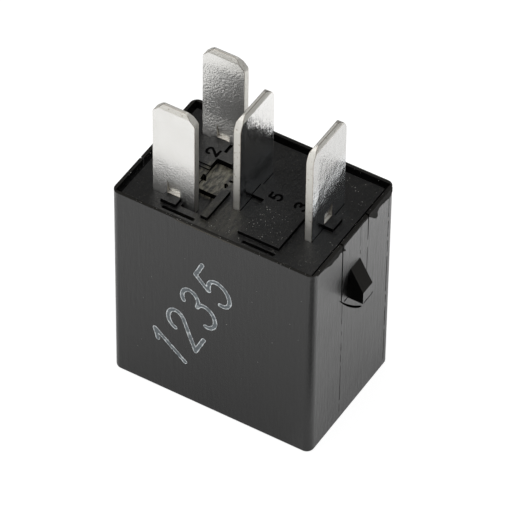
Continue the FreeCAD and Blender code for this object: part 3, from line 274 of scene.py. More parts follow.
def bright_tin(name, upper_level, grain_mm, rough):
    """Bright tin plating of a wide blade, with a fine grain and faint lines along it."""
    material, tree = new_material(name)
    even = place_mm(tree)
    lengthwise = place_mm(tree, (1, 1, 0.12))
    wave = noise(tree, even, 0.8, 2.0)
    normal = bump(tree, wave, 0.09, 0.8)
    normal = bump(tree, band(tree, axis_of(tree, even, "Y"), *EDGE_ROLL, -1.0), 0.16, 1.0, normal)
    normal = bump(tree, noise(tree, even, 5.0, 3.0, 0.6), grain_mm, 0.9, normal)
    normal = bump(tree, noise(tree, lengthwise, 6.0, 3.0), 0.03, 0.8, normal)
    upper = tuple(upper_level * value for value in (0.60, 0.595, 0.58)) + (1,)
    height = spread(tree, axis_of(tree, even, "Z"), *COLOUR_CHANGE)
    surface(tree, {
        "Base Color": mix_colour(tree, height, (0.66, 0.69, 0.715, 1), upper),
        "Metallic": 1.0,
        "Roughness": varied(tree, wave, rough, rough + 0.04),
        "Coat Weight": 0.6,
        "Coat IOR": 1.5,
        "Coat Roughness": 0.5,
        "Normal": normal,
    })
    return material


def cut_metal(name):
    """The stamped edges of a blade: dull, with fine lines along them and brownish marks."""
    material, tree = new_material(name)
    even = place_mm(tree)
    lengthwise = place_mm(tree, (1, 1, 0.15))
    mark = spread(tree, noise(tree, even, 3.0, 4.0, 0.65), 0.60, 0.72)
    surface(tree, {
        "Base Color": mix_colour(tree, mark, (0.78, 0.765, 0.72, 1), (0.42, 0.36, 0.29, 1)),
        "Metallic": 1.0,
        "Roughness": 0.58,
        "Normal": bump(tree, noise(tree, lengthwise, 7.0, 3.0), 0.03, 0.8),
    })
    return material


def plain(name, colour, rough, metallic=0.0, grain_mm=0.01, specular=0.5):
    """One colour with a light grain: worn edges, torn plastic, dust."""
    material, tree = new_material(name)
    grain = noise(tree, place_mm(tree), 7.0, 3.0)
    darker = tuple(0.7 * value for value in colour)
    surface(tree, {
        "Base Color": mix_colour(tree, grain, darker + (1,), colour + (1,)),
        "Metallic": metallic,
        "Roughness": rough,
        "Specular IOR Level": specular,
        "Normal": bump(tree, grain, grain_mm),
    })
    return material


def plain_metal(name, colour, rough):
    """Satin metal with a fine even grain."""
    material, tree = new_material(name)
    grain = noise(tree, place_mm(tree), 5.0, 3.0)
    darker = tuple(0.8 * value for value in colour)
    surface(tree, {
        "Base Color": mix_colour(tree, varied(tree, grain, 0.0, 1.0), colour + (1,), darker + (1,)),
        "Metallic": 1.0,
        "Roughness": varied(tree, grain, rough, rough + 0.1),
        "Normal": bump(tree, grain, 0.004),
    })
    return material


def wound_wire(name):
    """Enamelled copper wire, its turns lying side by side."""
    material, tree = new_material(name)
    even = place_mm(tree)
    turns = add(tree, "ShaderNodeTexWave", {"Vector": even, "Scale": 1.5, "Distortion": 0.2},
                bands_direction="Z").outputs["Fac"]
    patch = noise(tree, even, 0.8)
    surface(tree, {
        "Base Color": mix_colour(tree, patch, (0.46, 0.15, 0.05, 1), (0.62, 0.25, 0.11, 1)),
        "Metallic": 0.85,
        "Roughness": varied(tree, patch, 0.22, 0.34),
        "Normal": bump(tree, turns, 0.05, 0.8),
    })
    return material


def moulded(name, first, second, rough):
    """A plain moulded plastic or lacquer with slight colour variation."""
    material, tree = new_material(name)
    even = place_mm(tree)
    patch = noise(tree, even, 1.2)
    surface(tree, {
        "Base Color": mix_colour(tree, patch, first + (1,), second + (1,)),
        "Roughness": varied(tree, patch, rough, rough + 0.1),
        "Normal": bump(tree, noise(tree, even, 8.0), 0.004),
    })
    return material


def ink(name):
    """Stamped pale ink: thin in the middle of a stroke, squeezed thick and bright to its edges."""
    material, tree = new_material(name)
    ridge = add(tree, "ShaderNodeAttribute", attribute_name="edge").outputs["Fac"]
    blotch = noise(tree, place_mm(tree), 2.2, 4.0, 0.65)
    thick = math_node(tree, "ADD", ridge, spread(tree, blotch, 0.35, 0.65, -0.5, 0.5))
    pale = spread(tree, thick, 0.25, 0.95)
    surface(tree, {
        "Base Color": mix_colour(tree, pale, (0.13, 0.15, 0.162, 1), (0.80, 0.845, 0.86, 1)),
        "Roughness": 0.5,
        "IOR": 1.45,
        "Normal": bump(tree, thick, 0.02),
    })
    return material


PLASTIC = black_plastic("black_plastic")
BASE_PLASTIC = scuffed_plastic("base_plastic")
TORN = plain("torn_plastic", (0.016, 0.015, 0.013), 0.8, grain_mm=0.05, specular=0.2)
SCUFFED = plain("scuffed_plastic", (0.085, 0.078, 0.062), 0.7, grain_mm=0.05, specular=0.3)
# Black that paints shade on the base relief's upright sides, in the sunk numbers, on the wedge's front side
# and along the wedge's lower edge; it also draws the wall's dark lines.
SHADE_AND_LINE_BLACK = plain("painted_shade_and_dark_lines", (0.002, 0.002, 0.002), 0.9, specular=0.05)
DUST = plain("dust", (0.62, 0.61, 0.57), 0.9)
TIN = bright_tin("bright_tin", 1.0, 0.012, 0.11)
WORN_BRIGHT_TIN = bright_tin("worn_bright_tin", 0.70, 0.032, 0.05)
DULL_TIN = dull_tin("dull_tin", 1.0, 0.6)
SMOOTH_TIN = dull_tin("smooth_tin", 0.35, 0.0)
CUT_TIN = cut_metal("cut_edges")
WORN_TIN = plain("worn_tin", (0.52, 0.47, 0.41), 0.35, metallic=1.0)
INK = ink("print_ink")
WIRE = wound_wire("copper_wire")
IRON = plain_metal("soft_iron", (0.56, 0.56, 0.57), 0.3)
BRONZE = plain_metal("spring_bronze", (0.70, 0.47, 0.30), 0.25)
RIVET = plain_metal("rivet_steel", (0.62, 0.62, 0.62), 0.3)
SILVER = plain_metal("contact_silver", (0.88, 0.87, 0.84), 0.2)
NODE_LOOKS = {
    "cover": PLASTIC,
    "base": BASE_PLASTIC,
    "bobbin": moulded("bobbin_plastic", (0.60, 0.56, 0.46), (0.66, 0.62, 0.52), 0.5),
    "winding": wound_wire("copper_winding"),
    "coil_lead_front": WIRE,
    "coil_lead_rear": WIRE,
    "core": IRON,
    "yoke": IRON,
    "armature": IRON,
    "contact_spring": BRONZE,
    "yoke_rivets": RIVET,
    "armature_rivets": RIVET,
    "moving_contact": SILVER,
    "fixed_contact": SILVER,
    "resistor": moulded("resistor_lacquer", (0.16, 0.36, 0.50), (0.22, 0.44, 0.58), 0.25),
    "resistor_leads": TIN,
}
X_AXIS, Y_AXIS = 0, 1
# Each blade's plating, the axis along which its thickness lies, and the rounding of its tip's corners.
BLADES = {
    "terminal_1": (SMOOTH_TIN, Y_AXIS, 0.22),
    "terminal_2": (DULL_TIN, Y_AXIS, 0.22),
    "terminal_3": (WORN_BRIGHT_TIN, X_AXIS, 0.5),
    "terminal_5": (TIN, X_AXIS, 0.5),
}


def paint(mesh, *materials):
    mesh.materials.clear()
    for material in materials:
        mesh.materials.append(material)


def paint_nodes():
    """Gives each CAD node its material."""
    for node, material in NODE_LOOKS.items():
        paint(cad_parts[node].data, material)
    for node, (tin, _, _) in BLADES.items():
        paint(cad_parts[node].data, tin)


# Geometry helpers

def linked(name, data):
    """A new object in the scene."""
    obj = bpy.data.objects.new(name, data)
    bpy.context.scene.collection.objects.link(obj)
    return obj


def add_trim(name, vertices_mm, faces, material):
    """A thin piece on the housing."""
    mesh = bpy.data.meshes.new(name)
    mesh.from_pydata([tuple(MM * value for value in vertex) for vertex in vertices_mm], [], faces)
    mesh.update()
    obj = linked(name, mesh)
    paint(mesh, material)
    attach(obj, HOUSING)
    return obj


def settled(obj):
    """The mesh of a work object with its modifiers applied. The work object goes."""
    bpy.context.view_layer.update()
    graph = bpy.context.evaluated_depsgraph_get()
    result = bpy.data.meshes.new_from_object(obj.evaluated_get(graph))
    bpy.data.objects.remove(obj)
    return result


# A direction lies along an axis when at least this share of it does.
ALONG = 0.95
# How far below a blade's tip the corners can lie that are rounded, and how sharp they are.
TIP_REACH = 1.3
TIP_ANGLE = math.radians(20)


def round_tip(work, axis, width_mm):
    """Rounds the corners of a blade's tip, seen along its thickness."""
    top = max(vertex.co.z for vertex in work.verts)

    def at_tip(edge):
        low, high = edge.verts[0].co, edge.verts[1].co
        through = abs((high - low)[axis]) > ALONG * edge.calc_length()
        return through and min(low.z, high.z) > top - TIP_REACH

    corners = [edge for edge in work.edges if at_tip(edge) and edge.calc_face_angle() > TIP_ANGLE]
    bmesh.ops.bevel(work, geom=corners, offset=width_mm, segments=4, profile=0.5, affect="EDGES",
                    clamp_overlap=True)


def cleaned(node, choose, materials, tip):
    """A CAD node's mesh in millimetres, its flat faces made whole and painted."""
    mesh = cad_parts[node].data.copy()
    mesh.transform(Matrix.Scale(PER_METRE, 4))
    work = bmesh.new()
    work.from_mesh(mesh)
    bmesh.ops.remove_doubles(work, verts=work.verts, dist=1e-4)
    bmesh.ops.dissolve_limit(work, angle_limit=math.radians(0.6), verts=work.verts, edges=work.edges)
    if tip is not None:
        round_tip(work, *tip)
    for face in work.faces:
        face.smooth = True
        face.material_index = choose(face)
    paint(mesh, *materials)
    work.to_mesh(mesh)
    work.free()
    return mesh


def cut_away(obj, name, cutter):
    """The work object with a cutter's mesh taken away. Only edges sharper than 60 degrees stay sharp."""
    tool = linked(name + "_cutter", cutter)
    cut = obj.modifiers.new("cut", "BOOLEAN")
    cut.operation = "DIFFERENCE"
    cut.solver = "EXACT"
    cut.object = tool
    mesh = settled(obj)
    bpy.data.objects.remove(tool)
    work = bmesh.new()
    work.from_mesh(mesh)
    for edge in work.edges:
        edge.smooth = len(edge.link_faces) != 2 or edge.calc_face_angle() < math.radians(60)
    work.to_mesh(mesh)
    work.free()
    return linked(name + "_cut", mesh)


def eased_copy(node, name, width_mm, choose, materials, cutter=None, tip=None):
    """A copy of a CAD node with its sharp edges eased, which stands for the node.

    The last material goes on the eased edges, and choose gives the index of a face's own material.
    A cutter's mesh is taken away after the easing. A blade's tip is given as its axis and rounding.
    """
    temporary = linked(name + "_work", cleaned(node, choose, materials, tip))
    ease = temporary.modifiers.new("ease", "BEVEL")
    ease.width = width_mm
    ease.segments = 2
    ease.limit_method = "ANGLE"
    ease.angle_limit = math.radians(28)
    ease.use_clamp_overlap = True
    ease.material = len(materials) - 1
    if cutter is not None:
        temporary = cut_away(temporary, name, cutter)
    even = temporary.modifiers.new("even", "WEIGHTED_NORMAL")
    even.keep_sharp = True
    even.weight = 80
    mesh = settled(temporary)
    mesh.transform(Matrix.Scale(MM, 4))
    mesh.name = name
    obj = linked(name, mesh)
    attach(obj, HOUSING)
    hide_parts(node)


def narrow_side(axis):
    """Picks the narrow sides and the tip's bevels of a blade whose thickness lies along the axis."""
    return lambda face: 1 if abs(face.normal[axis]) < ALONG else 0


def relief_side(face):
    """Picks the upright sides of the pads and recesses on the base, which get black as painted shade."""
    upright = abs(face.normal.z) < 0.35
    return 1 if upright and face.calc_center_median().z > BASE_TOP - 1.5 else 0


def cover_side(face):
    """Picks the torn rim with the slope of the right wedge, and the wedge's front side, which is black as
    painted shade.
    """
    middle = face.calc_center_median()
    if face.normal.z > -0.1 and middle.z > BASE_TOP - 0.4:
        return 2
    if middle.x < RIGHT_WALL + 0.2:
        return 0
    # The wedge's front side takes the black of painted shade.
    if face.normal.y < -0.5:
        return 1
    return 2 if face.normal.z > 0.2 else 0


# Digits, the printed ones and those in the base

def arc(cx, cy, rx, ry, start, end, steps=14):
    """Points on an ellipse, angles in degrees."""
    return [(cx + rx * math.cos(math.radians(a)), cy + ry * math.sin(math.radians(a)))
            for a in np.linspace(start, end, steps)]


# Strokes of plain digits, in a box 2 wide and 4 high about the origin.
DIGITS = {
    "1": [[(-0.55, 1.25), (0.15, 2.0), (0.15, -2.0)]],
    "2": [arc(0, 1.05, 0.95, 0.95, 200, -35, 18) + [(-0.95, -2.0), (1.0, -2.0)]],
    "3": [arc(-0.05, 1.07, 0.9, 0.93, 150, -90, 18) + arc(-0.05, -0.98, 1.0, 1.12, 90, -155, 20)],
    "5": [[(0.85, 2.0), (-0.7, 2.0), (-0.85, 0.25)] + arc(-0.05, -0.72, 1.0, 1.28, 135, -150, 20)],
}


def laid(digit, middle, right, up, width, height):
    """A digit's strokes in their place on a face. Right and up are directions of length 1."""
    lines = [np.array(stroke) for stroke in DIGITS[digit]]
    return [middle + line[:, :1] * right * width / 2 + line[:, 1:] * up * height / 4 for line in lines]


def distance_to(points, strokes):
    """Distance of each point to the nearest stroke, by segments."""
    best = np.full(len(points), 1e9)
    for stroke in strokes:
        for a, b in zip(stroke[:-1], stroke[1:]):
            d = b - a
            t = np.clip(((points - a) @ d) / max(d @ d, 1e-12), 0, 1)
            best = np.minimum(best, np.linalg.norm(points - a - t[:, None] * d, axis=1))
    return best


def outlined(strokes, half, cell, wobble=0.0):
    """A flat skin over strokes, which reaches half to either side of them: its points and faces.

    Of a grid of cells those with two or more corners inside are kept, and points outside are drawn in to
    the outline. A wobble makes the outline uneven. The third result says how near each point is to the
    outline: 0 in the middle of a stroke, 1 on the outline.
    """
    everything = np.vstack(strokes)
    low = everything.min(0) - 3 * half
    high = everything.max(0) + 3 * half
    nx, ny = np.ceil((high - low) / cell).astype(int) + 1
    gx, gy = np.meshgrid(low[0] + cell * np.arange(nx), low[1] + cell * np.arange(ny), indexing="ij")
    points = np.stack([gx.ravel(), gy.ravel()], 1)

    def past_outline(where):
        ripple = np.sin(where[:, 0] * 5.1 + 1.3) * np.sin(where[:, 1] * 4.3 + 0.4)
        ripple += 0.6 * np.sin(where[:, 0] * 11.7 + 2.2 * where[:, 1])
        return distance_to(where, strokes) - half * (1 + wobble * ripple)

    inside = (past_outline(points) <= 0).reshape(nx, ny).astype(int)
    keep = (inside[:-1, :-1] + inside[1:, :-1] + inside[:-1, 1:] + inside[1:, 1:]) >= 2
    used = {}
    faces = []
    for i, j in zip(*np.nonzero(keep)):
        corners = [(i, j), (i + 1, j), (i + 1, j + 1), (i, j + 1)]
        faces.append(tuple(used.setdefault(corner, len(used)) for corner in corners))
    flat = points[np.array([i * ny + j for i, j in used])].copy()
    step = 1e-3
    for _ in range(3):
        across = (past_outline(flat + [step, 0]) - past_outline(flat - [step, 0])) / (2 * step)
        upward = (past_outline(flat + [0, step]) - past_outline(flat - [0, step])) / (2 * step)
        slope = np.stack([across, upward], 1)
        slope /= np.maximum(np.linalg.norm(slope, axis=1, keepdims=True), 0.3)
        gap = past_outline(flat)
        outside = gap > 0
        flat[outside] -= slope[outside] * gap[outside, None]
    return flat, faces, np.clip(1 + past_outline(flat) / half, 0, 1)


# The print on the long face: the terminals' plain numbers in a slanted row, each with its place along X and
# Z. A digit's own right and up point at these angles. From the middle of a stroke to its outline the ink is
# thin over the share INK_THIN and thickens over the share INK_RISE.
PRINT_CENTRES = (("1", -4.85, 6.75), ("2", -3.10, 10.15), ("3", -1.45, 13.95), ("5", 0.30, 17.75))
PRINT_RIGHT = math.radians(66.0)
PRINT_UP = math.radians(139.0)
PRINT_WIDTH = 2.35
PRINT_HEIGHT = 4.65
PRINT_STROKE = 0.255
PRINT_CELL = 0.055
PRINT_WOBBLE = 0.05
INK_THIN = 0.45
INK_RISE = 0.4
# How far thin skins lie in front of the long face.
SKIN_PROUD = 0.012


def print_digits():
    """Thin skins of ink, each point of which keeps for the material how thick the ink is."""
    right = np.array([math.cos(PRINT_RIGHT), math.sin(PRINT_RIGHT)])
    up = np.array([math.cos(PRINT_UP), math.sin(PRINT_UP)])
    for digit, x, z in PRINT_CENTRES:
        strokes = laid(digit, np.array([x, z]), right, up, PRINT_WIDTH, PRINT_HEIGHT)
        flat, faces, nearness = outlined(strokes, PRINT_STROKE, PRINT_CELL, PRINT_WOBBLE)
        obj = add_trim("print_" + digit, [(a, FRONT - SKIN_PROUD, b) for a, b in flat], faces, INK)
        edge = obj.data.attributes.new("edge", "FLOAT", "POINT")
        thick = np.clip((nearness - INK_THIN) / INK_RISE, 0, 1)
        edge.data.foreach_set("value", thick.astype(np.float32))


# The terminal numbers sunk in the base, turned by a quarter: digit, place along X and Y, width, height.
BASE_NUMBERS = (("5", 2.62, 0.04, 0.80, 1.22), ("3", 5.40, 0.12, 0.86, 1.18), ("2", -5.97, 2.15, 0.86, 1.24))
NUMBER_RIGHT = np.array([0.0, 1.0])
NUMBER_UP = np.array([-1.0, 0.0])
NUMBER_STROKE = 0.14
NUMBER_DEPTH = 0.16
NUMBER_CELL = 0.045
# The base's faces; the upright sides of its relief with the numbers' walls and floors, black as painted
# shade; and its eased edges.
BASE_LOOKS = (BASE_PLASTIC, SHADE_AND_LINE_BLACK, BASE_PLASTIC)


def number_cutter():
    """One mesh, in millimetres, that cuts all the numbers of the base. Its faces take the black of painted
    shade.
    """
    floor_z = BASE_TOP - NUMBER_DEPTH
    work = bmesh.new()
    for digit, x, y, width, height in BASE_NUMBERS:
        strokes = laid(digit, np.array([x, y]), NUMBER_RIGHT, NUMBER_UP, width, height)
        flat, faces, _ = outlined(strokes, NUMBER_STROKE, NUMBER_CELL)
        corners = [work.verts.new((a, b, floor_z)) for a, b in flat]
        lower = [work.faces.new([corners[index] for index in reversed(face)]) for face in faces]
        grown = bmesh.ops.extrude_face_region(work, geom=lower, use_keep_orig=True)["geom"]
        moved = [item for item in grown if isinstance(item, bmesh.types.BMVert)]
        bmesh.ops.translate(work, verts=moved, vec=(0, 0, 3 * NUMBER_DEPTH))
    bmesh.ops.recalc_face_normals(work, faces=work.faces)
    for face in work.faces:
        # The numbers' walls and floors are painted black as shade in the hollows.
        face.material_index = 1
    mesh = bpy.data.meshes.new("number_cutter")
    paint(mesh, *BASE_LOOKS)
    work.to_mesh(mesh)
    work.free()
    return mesh


# Wear, dirt, dark lines and painted shadow

# Torn flash along the rim of the right wall, as outlines of place along Y and height.
RIM_FLASH = (
    ((-7.1, 24.98), (-7.1, 24.78), (-6.29, 24.74), (-5.69, 24.64), (-5.1, 24.4), (-4.46, 24.14),
     (-3.9, 24.2), (-3.68, 24.16), (-3.19, 24.11), (-2.9, 24.3), (-2.71, 24.3), (-2.41, 24.06),
     (-2.41, 24.98)),
    ((-2.19, 24.98), (-2.19, 24.02), (-1.74, 23.8), (-1.78, 24.0), (-2.0, 24.2), (-2.05, 24.62),
     (-0.5, 24.66), (1.0, 24.68), (2.48, 24.66), (2.48, 24.98)),
    ((2.72, 24.98), (2.72, 24.6), (3.3, 24.05), (4.1, 23.22), (4.4, 23.3), (4.42, 23.6), (4.33, 23.95),
     (4.71, 24.23), (5.2, 24.2), (5.76, 24.09), (6.51, 23.95), (6.95, 24.03), (7.2, 24.4), (7.2, 24.98)),
)
# How far the flash stands off the wall, how far it reaches back over the rim, and how high it lies there.
FLASH_PROUD = 0.015
FLASH_BACK = 0.3
FLASH_TOP = 25.006


def ragged(outline, parts, reach):
    """The outline with its sides broken up by small random steps in height. Its own points stay."""
    result = [outline[0]]
    for a, b in zip(outline[:-1], outline[1:]):
        for part in range(1, parts):
            share = part / parts
            step = random.uniform(-reach, reach)
            result.append((a[0] + share * (b[0] - a[0]), a[1] + share * (b[1] - a[1]) + step))
        result.append(b)
    return result


def rim_flash():
    """Thin rough skins over the edge of the rim, a little proud of the wall."""
    back = RIGHT_WALL - FLASH_BACK
    for index, sides in enumerate(RIM_FLASH):
        outline = [sides[0]] + ragged(sides[1:-1], 4, 0.05) + [sides[-1]]
        face = [(RIGHT_WALL + FLASH_PROUD, y, z) for y, z in outline]
        top = [(back, outline[0][0], FLASH_TOP), (back, outline[-1][0], FLASH_TOP)]
        count = len(face)
        add_trim("rim_flash_%d" % (index + 1), face + top,
                 [tuple(range(count)), (0, count - 1, count + 1, count)], TORN)


# Scuffed strip along the front edge of the rim: place along X and how far it hangs down.
FRONT_FLASH = ((-4.4, 0.03), (-3.9, 0.10), (-3.2, 0.16), (-2.4, 0.09), (-1.5, 0.19), (-0.8, 0.12),
               (0.1, 0.20), (0.9, 0.10), (1.6, 0.16), (2.2, 0.07), (2.9, 0.10), (3.3, 0.02))
# Its lower edge hangs down from the first depth below the rim's top, and at the second it turns back. It ends
# this far behind its front and above the rim.
STRIP_LOW = 0.05
STRIP_TURN = 0.045
STRIP_BACK = 0.06
STRIP_RISE = 0.004


def front_flash():
    """A lighter, brownish scuffed strip on the front edge."""
    face_y = FRONT - SKIN_PROUD
    lower = ragged([(x, RIM_TOP - STRIP_LOW - down) for x, down in FRONT_FLASH], 5, 0.035)
    points = [(x, face_y, z) for x, z in lower]
    points += [(x, face_y, RIM_TOP - STRIP_TURN) for x, _ in lower]
    points += [(x, face_y + STRIP_BACK, RIM_TOP + STRIP_RISE) for x, _ in lower]
    count = len(lower)
    faces = []
    for row in (0, count):
        faces += [(row + i, row + i + 1, row + count + i + 1, row + count + i) for i in range(count - 1)]
    add_trim("front_flash", points, faces, SCUFFED)


# Faint upright mould lines on the right wall: place along Y, lower end, upper end, width, share that shows.
WALL_LINES = (
    (-2.10, 1.2, 16.1, 0.075, 0.75),
    (2.58, 14.5, 21.5, 0.09, 0.62),
    (1.17, 20.3, 24.3, 0.05, 0.8),
    (6.62, 1.0, 24.0, 0.10, 0.85),
)
LINE_PIECE = 0.55
LINE_PROUD = 0.006


def four_corners(first):
    """The face of four points in a row."""
    return tuple(range(first, first + 4))


def wall_lines():
    """Broken dark lines as thin strips on the wall."""
    x = RIGHT_WALL + LINE_PROUD
    points = []
    faces = []
    for y, low, high, width, share in WALL_LINES:
        for start in np.arange(low, high, LINE_PIECE):
            if random.uniform() > share:
                continue
            half = width / 2 * random.uniform(0.5, 1.0)
            aside = y + random.uniform(-0.02, 0.02)
            end = start + LINE_PIECE
            faces.append(four_corners(len(points)))
            points += [(x, aside - half, start), (x, aside + half, start),
                       (x, aside + half, end), (x, aside - half, end)]
    add_trim("wall_lines", points, faces, SHADE_AND_LINE_BLACK)


# Short dark strips, one on the wall and three on the right wedge, where they paint the shadow along its lower
# edge:
# how far out, then the corners along Y and Z.
ON_WALL = RIGHT_WALL + LINE_PROUD
ON_WEDGE = WEDGE + 0.004
DARK_STRIPS = (
    (ON_WALL, ((-1.75, 16.58), (-1.0, 16.64), (-0.98, 16.76), (-1.72, 16.80))),
    (ON_WEDGE, ((-0.5, 16.12), (0.3, 16.12), (0.28, 16.30), (-0.46, 16.26))),
    (ON_WEDGE, ((0.34, 16.13), (0.95, 16.13), (0.95, 16.24), (0.36, 16.27))),
    (ON_WEDGE, ((0.98, 16.13), (1.2, 16.13), (1.2, 16.44), (1.02, 16.36))),
)


def dark_strips():
    """The dark strips as thin pieces: painted shadow along the wedge's lower edge, and one dark mark on the
    wall.
    """
    points = [(x, y, z) for x, corners in DARK_STRIPS for y, z in corners]
    add_trim("dark_strips", points, [four_corners(first) for first in range(0, len(points), 4)], SHADE_AND_LINE_BLACK)


# Dust on upward faces: how many, left, right, front, rear, height above the base's floor, largest size.
DUST_FIELDS = (
    (60, 2.1, 6.4, -5.8, -1.6, 0.45, 0.05),
    (12, 1.9, 6.4, -1.6, 4.9, 0.45, 0.035),
    (20, 8.8, 10.6, -6.6, 6.6, 0.0, 0.055),
    (12, 6.7, 10.6, 3.6, 6.9, 0.0, 0.055),
    (14, -1.4, 6.8, -7.1, -6.0, 0.0, 0.045),
    (12, -1.5, 1.6, -6.8, -3.4, 0.0, 0.03),
    (10, -4.8, -2.5, -2.2, 1.5, -0.22, 0.03),
    (14, -10.4, -8.6, -6.8, 2.0, 0.0, 0.05),
    (30, -9.0, 11.0, -7.75, -7.45, 0.5, 0.04),
    (16, 11.0, 11.4, -7.0, 7.0, 0.5, 0.04),
    (10, -11.3, -11.0, -7.0, 2.0, 0.5, 0.035),
    (8, 3.0, 10.5, 7.2, 7.7, 0.5, 0.04),
)
# Specks on two walls: how many, which wall, from, to, bottom, top.
WALL_SPECKS = ((18, "front", -10.0, 10.5, 2.0, 23.5), (8, "right", -6.0, 6.0, 2.0, 22.0))
# How far all of it lies off its face, and how high a grain is for its size.
DUST_PROUD = 0.01
GRAIN_HEIGHT = 0.6


def dust():
    """Fine specks: low grains with four uneven corners on upward faces, and flat ones on the walls."""
    points = []
    faces = []
    for count, left, right, front, rear, height, largest in DUST_FIELDS:
        for _ in range(count):
            x, y = random.uniform(left, right), random.uniform(front, rear)
            z = BASE_TOP - PAD_HEIGHT + height
            radius = largest * random.uniform(0.45, 1.0) ** 1.5
            turn = random.uniform(0, math.pi)
            first = len(points)
            for step in range(4):
                angle = turn + step * math.pi / 2
                reach = radius * random.uniform(0.6, 1.3)
                points.append((x + reach * math.cos(angle), y + reach * math.sin(angle), z + DUST_PROUD))
                faces.append((first + step, first + (step + 1) % 4, first + 4))
            points.append((x, y, z + GRAIN_HEIGHT * radius + DUST_PROUD))
    for count, wall, low, high, bottom, top in WALL_SPECKS:
        for _ in range(count):
            across, upward = random.uniform(low, high), random.uniform(bottom, top)
            reach = random.uniform(0.015, 0.035)
            faces.append(four_corners(len(points)))
            for a, b in ((-1, 0), (0, -1), (1, 0), (0, 1)):
                at, height = across + a * reach, upward + b * reach
                on_front, on_right = (at, FRONT - DUST_PROUD, height), (RIGHT_WALL + DUST_PROUD, at, height)
                points.append(on_front if wall == "front" else on_right)
    add_trim("dust", points, faces, DUST)


# The leaf spring

# The heights at which the leaf spring is cut across, over the stretch where the real spring bends.
LEAF_CUTS = np.arange(2.9, 8.0, 0.35)


def bending_leaf():
    """The leaf spring, cut across at those heights; its upper end sits on the yoke and its lower part on the
    armature.
    """
    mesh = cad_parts["contact_spring"].data.copy()
    mesh.name = "leaf_spring"
    work = bmesh.new()
    work.from_mesh(mesh)
    bmesh.ops.remove_doubles(work, verts=work.verts, dist=1e-7)
    for height in LEAF_CUTS:
        geometry = work.verts[:] + work.edges[:] + work.faces[:]
        bmesh.ops.bisect_plane(work, geom=geometry, plane_co=(0, 0, height * MM), plane_no=(0, 0, 1),
                               dist=1e-8)
    work.to_mesh(mesh)
    work.free()
    leaf = linked("leaf_spring", mesh)
    paint(mesh, BRONZE)
    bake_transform(leaf)
    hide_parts("contact_spring")


# Floor, light and camera

def mix_shader(tree, amount, first, second):
    return add(tree, "ShaderNodeMixShader", {0: amount, 1: first, 2: second}).outputs[0]


def diffuse(tree, colour):
    return add(tree, "ShaderNodeBsdfDiffuse", {"Color": colour}).outputs[0]


def glowing(tree, colour, strength):
    """A diffuse colour that also sends out white light."""
    light = add(tree, "ShaderNodeEmission", {"Color": grey(1.0), "Strength": strength}).outputs[0]
    return add(tree, "ShaderNodeAddShader", {0: diffuse(tree, colour), 1: light}).outputs[0]


# In metres: half the floor's width and its height, a little below the relay. What the relay mirrors of it
# fades far from the first point, carries painted shadow near the other two, and gets lighter, as painted
# light, between the two places along X.
FLOOR_HALF = 2.5
FLOOR_Z = -0.00002
FADE_FROM = (-0.05, -0.15, 0.0)
SHADE_AROUND_RELAY = (0.004, 0.0, 0.0)
SHADOW_BY_CORNER = (0.028, -0.020, 0.0)
PAINTED_LIGHT_RIGHT = (0.008, 0.016)


def floor():
    """A white floor. Mirrored in the relay it fades with distance and carries painted shadow and light; the
    camera sees only a weak shadow.
    """
    material, tree = new_material("studio_floor")
    path = add(tree, "ShaderNodeLightPath")
    place = add(tree, "ShaderNodeNewGeometry").outputs["Position"]
    fade = round_about(tree, place, FADE_FROM, 0.22, 0.30, 1.0, 0.08)
    # Painted shadow on the mirrored floor near the relay and by its front right corner, and painted light to
    # the right.
    close = round_about(tree, place, SHADE_AROUND_RELAY, 0.010, 0.036, 0.74, 1.16, "LINEAR")
    corner = round_about(tree, place, SHADOW_BY_CORNER, 0.006, 0.020, 0.30, 1.0)
    to_right = spread(tree, axis_of(tree, place, "X"), *PAINTED_LIGHT_RIGHT, 1.0, 1.42)
    level = math_node(tree, "MULTIPLY", math_node(tree, "MULTIPLY", close, corner), to_right)
    near = glowing(tree, shade(tree, level, 0.50), math_node(tree, "MULTIPLY", level, 0.48))
    mirrored = mix_shader(tree, fade, diffuse(tree, grey(0.04)), near)
    inner = mix_shader(tree, path.outputs["Is Glossy Ray"], diffuse(tree, grey(0.8)), mirrored)
    seen = glowing(tree, grey(0.24), 0.9)
    outer = mix_shader(tree, path.outputs["Is Camera Ray"], inner, seen)
    add(tree, "ShaderNodeOutputMaterial", {"Surface": outer})
    mesh = bpy.data.meshes.new("studio_floor")
    corners = [(-FLOOR_HALF, -FLOOR_HALF, FLOOR_Z), (FLOOR_HALF, -FLOOR_HALF, FLOOR_Z),
               (FLOOR_HALF, FLOOR_HALF, FLOOR_Z), (-FLOOR_HALF, FLOOR_HALF, FLOOR_Z)]
    mesh.from_pydata(corners, [], [four_corners(0)])
    obj = linked("studio_floor", mesh)
    paint(mesh, material)


# The studio's light, as soft discs on the sky: direction, full within, nothing beyond (degrees), level.
SKY_BASE = 0.12
SKY_LIGHTS = (
    ((0.15, 0.05, 1.0), 18, 32, 2.1),
    ((-0.50, -0.45, 0.74), 11, 22, 3.9),
    ((-0.36, -0.92, 0.15), 18, 30, 0.95),
    ((0.75, 0.55, 0.36), 8, 18, 0.9),
)


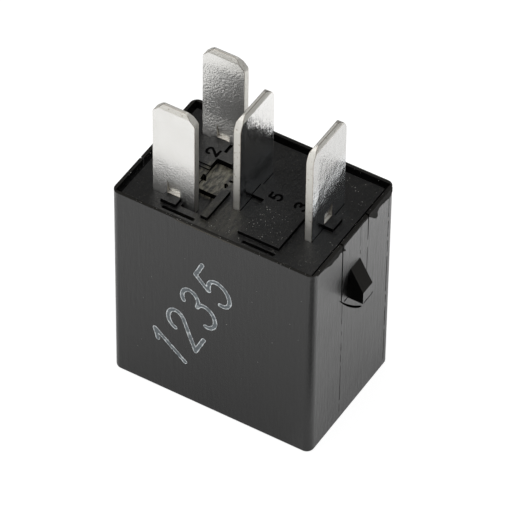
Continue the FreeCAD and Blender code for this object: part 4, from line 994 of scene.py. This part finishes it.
def sky():
    """The studio's light. The camera itself sees plain white."""
    world = bpy.data.worlds.new("studio")
    bpy.context.scene.world = world
    world.use_nodes = True
    tree = world.node_tree
    tree.nodes.clear()
    path = add(tree, "ShaderNodeLightPath")
    where = add(tree, "ShaderNodeTexCoord").outputs["Generated"]
    level = SKY_BASE
    for direction, full, none, strength in SKY_LIGHTS:
        towards = tuple(Vector(direction).normalized())
        near = add(tree, "ShaderNodeVectorMath", {0: where, 1: towards},
                   operation="DOT_PRODUCT").outputs["Value"]
        edge, inner = math.cos(math.radians(none)), math.cos(math.radians(full))
        level = math_node(tree, "ADD", level, spread(tree, near, edge, inner, 0.0, strength, "SMOOTHSTEP"))
    light = add(tree, "ShaderNodeBackground", {"Color": grey(1.0), "Strength": level}).outputs[0]
    white = add(tree, "ShaderNodeBackground", {"Color": grey(1.0), "Strength": 1.0}).outputs[0]
    both = mix_shader(tree, path.outputs["Is Camera Ray"], light, white)
    add(tree, "ShaderNodeOutputWorld", {"Surface": both})


# The photograph's camera: lens and sensor in mm, place in metres, turn in degrees.
SENSOR = 36.0
LENS = 343.2
CAMERA_PLACE = (0.174932, -0.292663, 0.360144)
CAMERA_TURN = (44.6777, -0.5314, 31.344)


def camera():
    data = bpy.data.cameras.new("camera")
    data.sensor_width = SENSOR
    data.lens = LENS
    data.clip_start = 0.01
    data.clip_end = 20.0
    obj = linked("camera", data)
    obj.location = CAMERA_PLACE
    obj.rotation_euler = tuple(math.radians(angle) for angle in CAMERA_TURN)
    bpy.context.scene.camera = obj


# The widths of the eased edges.
COVER_EASE = 0.05
BASE_EASE = 0.04
BLADE_EASE = 0.05

bpy.context.scene.view_settings.view_transform = "Standard"
paint_nodes()
eased_copy("cover", "cover_shell", COVER_EASE, cover_side, (PLASTIC, SHADE_AND_LINE_BLACK, TORN, PLASTIC))
eased_copy("base", "base_header", BASE_EASE, relief_side, BASE_LOOKS, number_cutter())
for blade, (tin, axis, rounding) in BLADES.items():
    eased_copy(blade, blade.replace("terminal", "blade"), BLADE_EASE, narrow_side(axis),
               (tin, CUT_TIN, WORN_TIN), tip=(axis, rounding))
print_digits()
rim_flash()
front_flash()
wall_lines()
dark_strips()
dust()
bending_leaf()
floor()
sky()
camera()
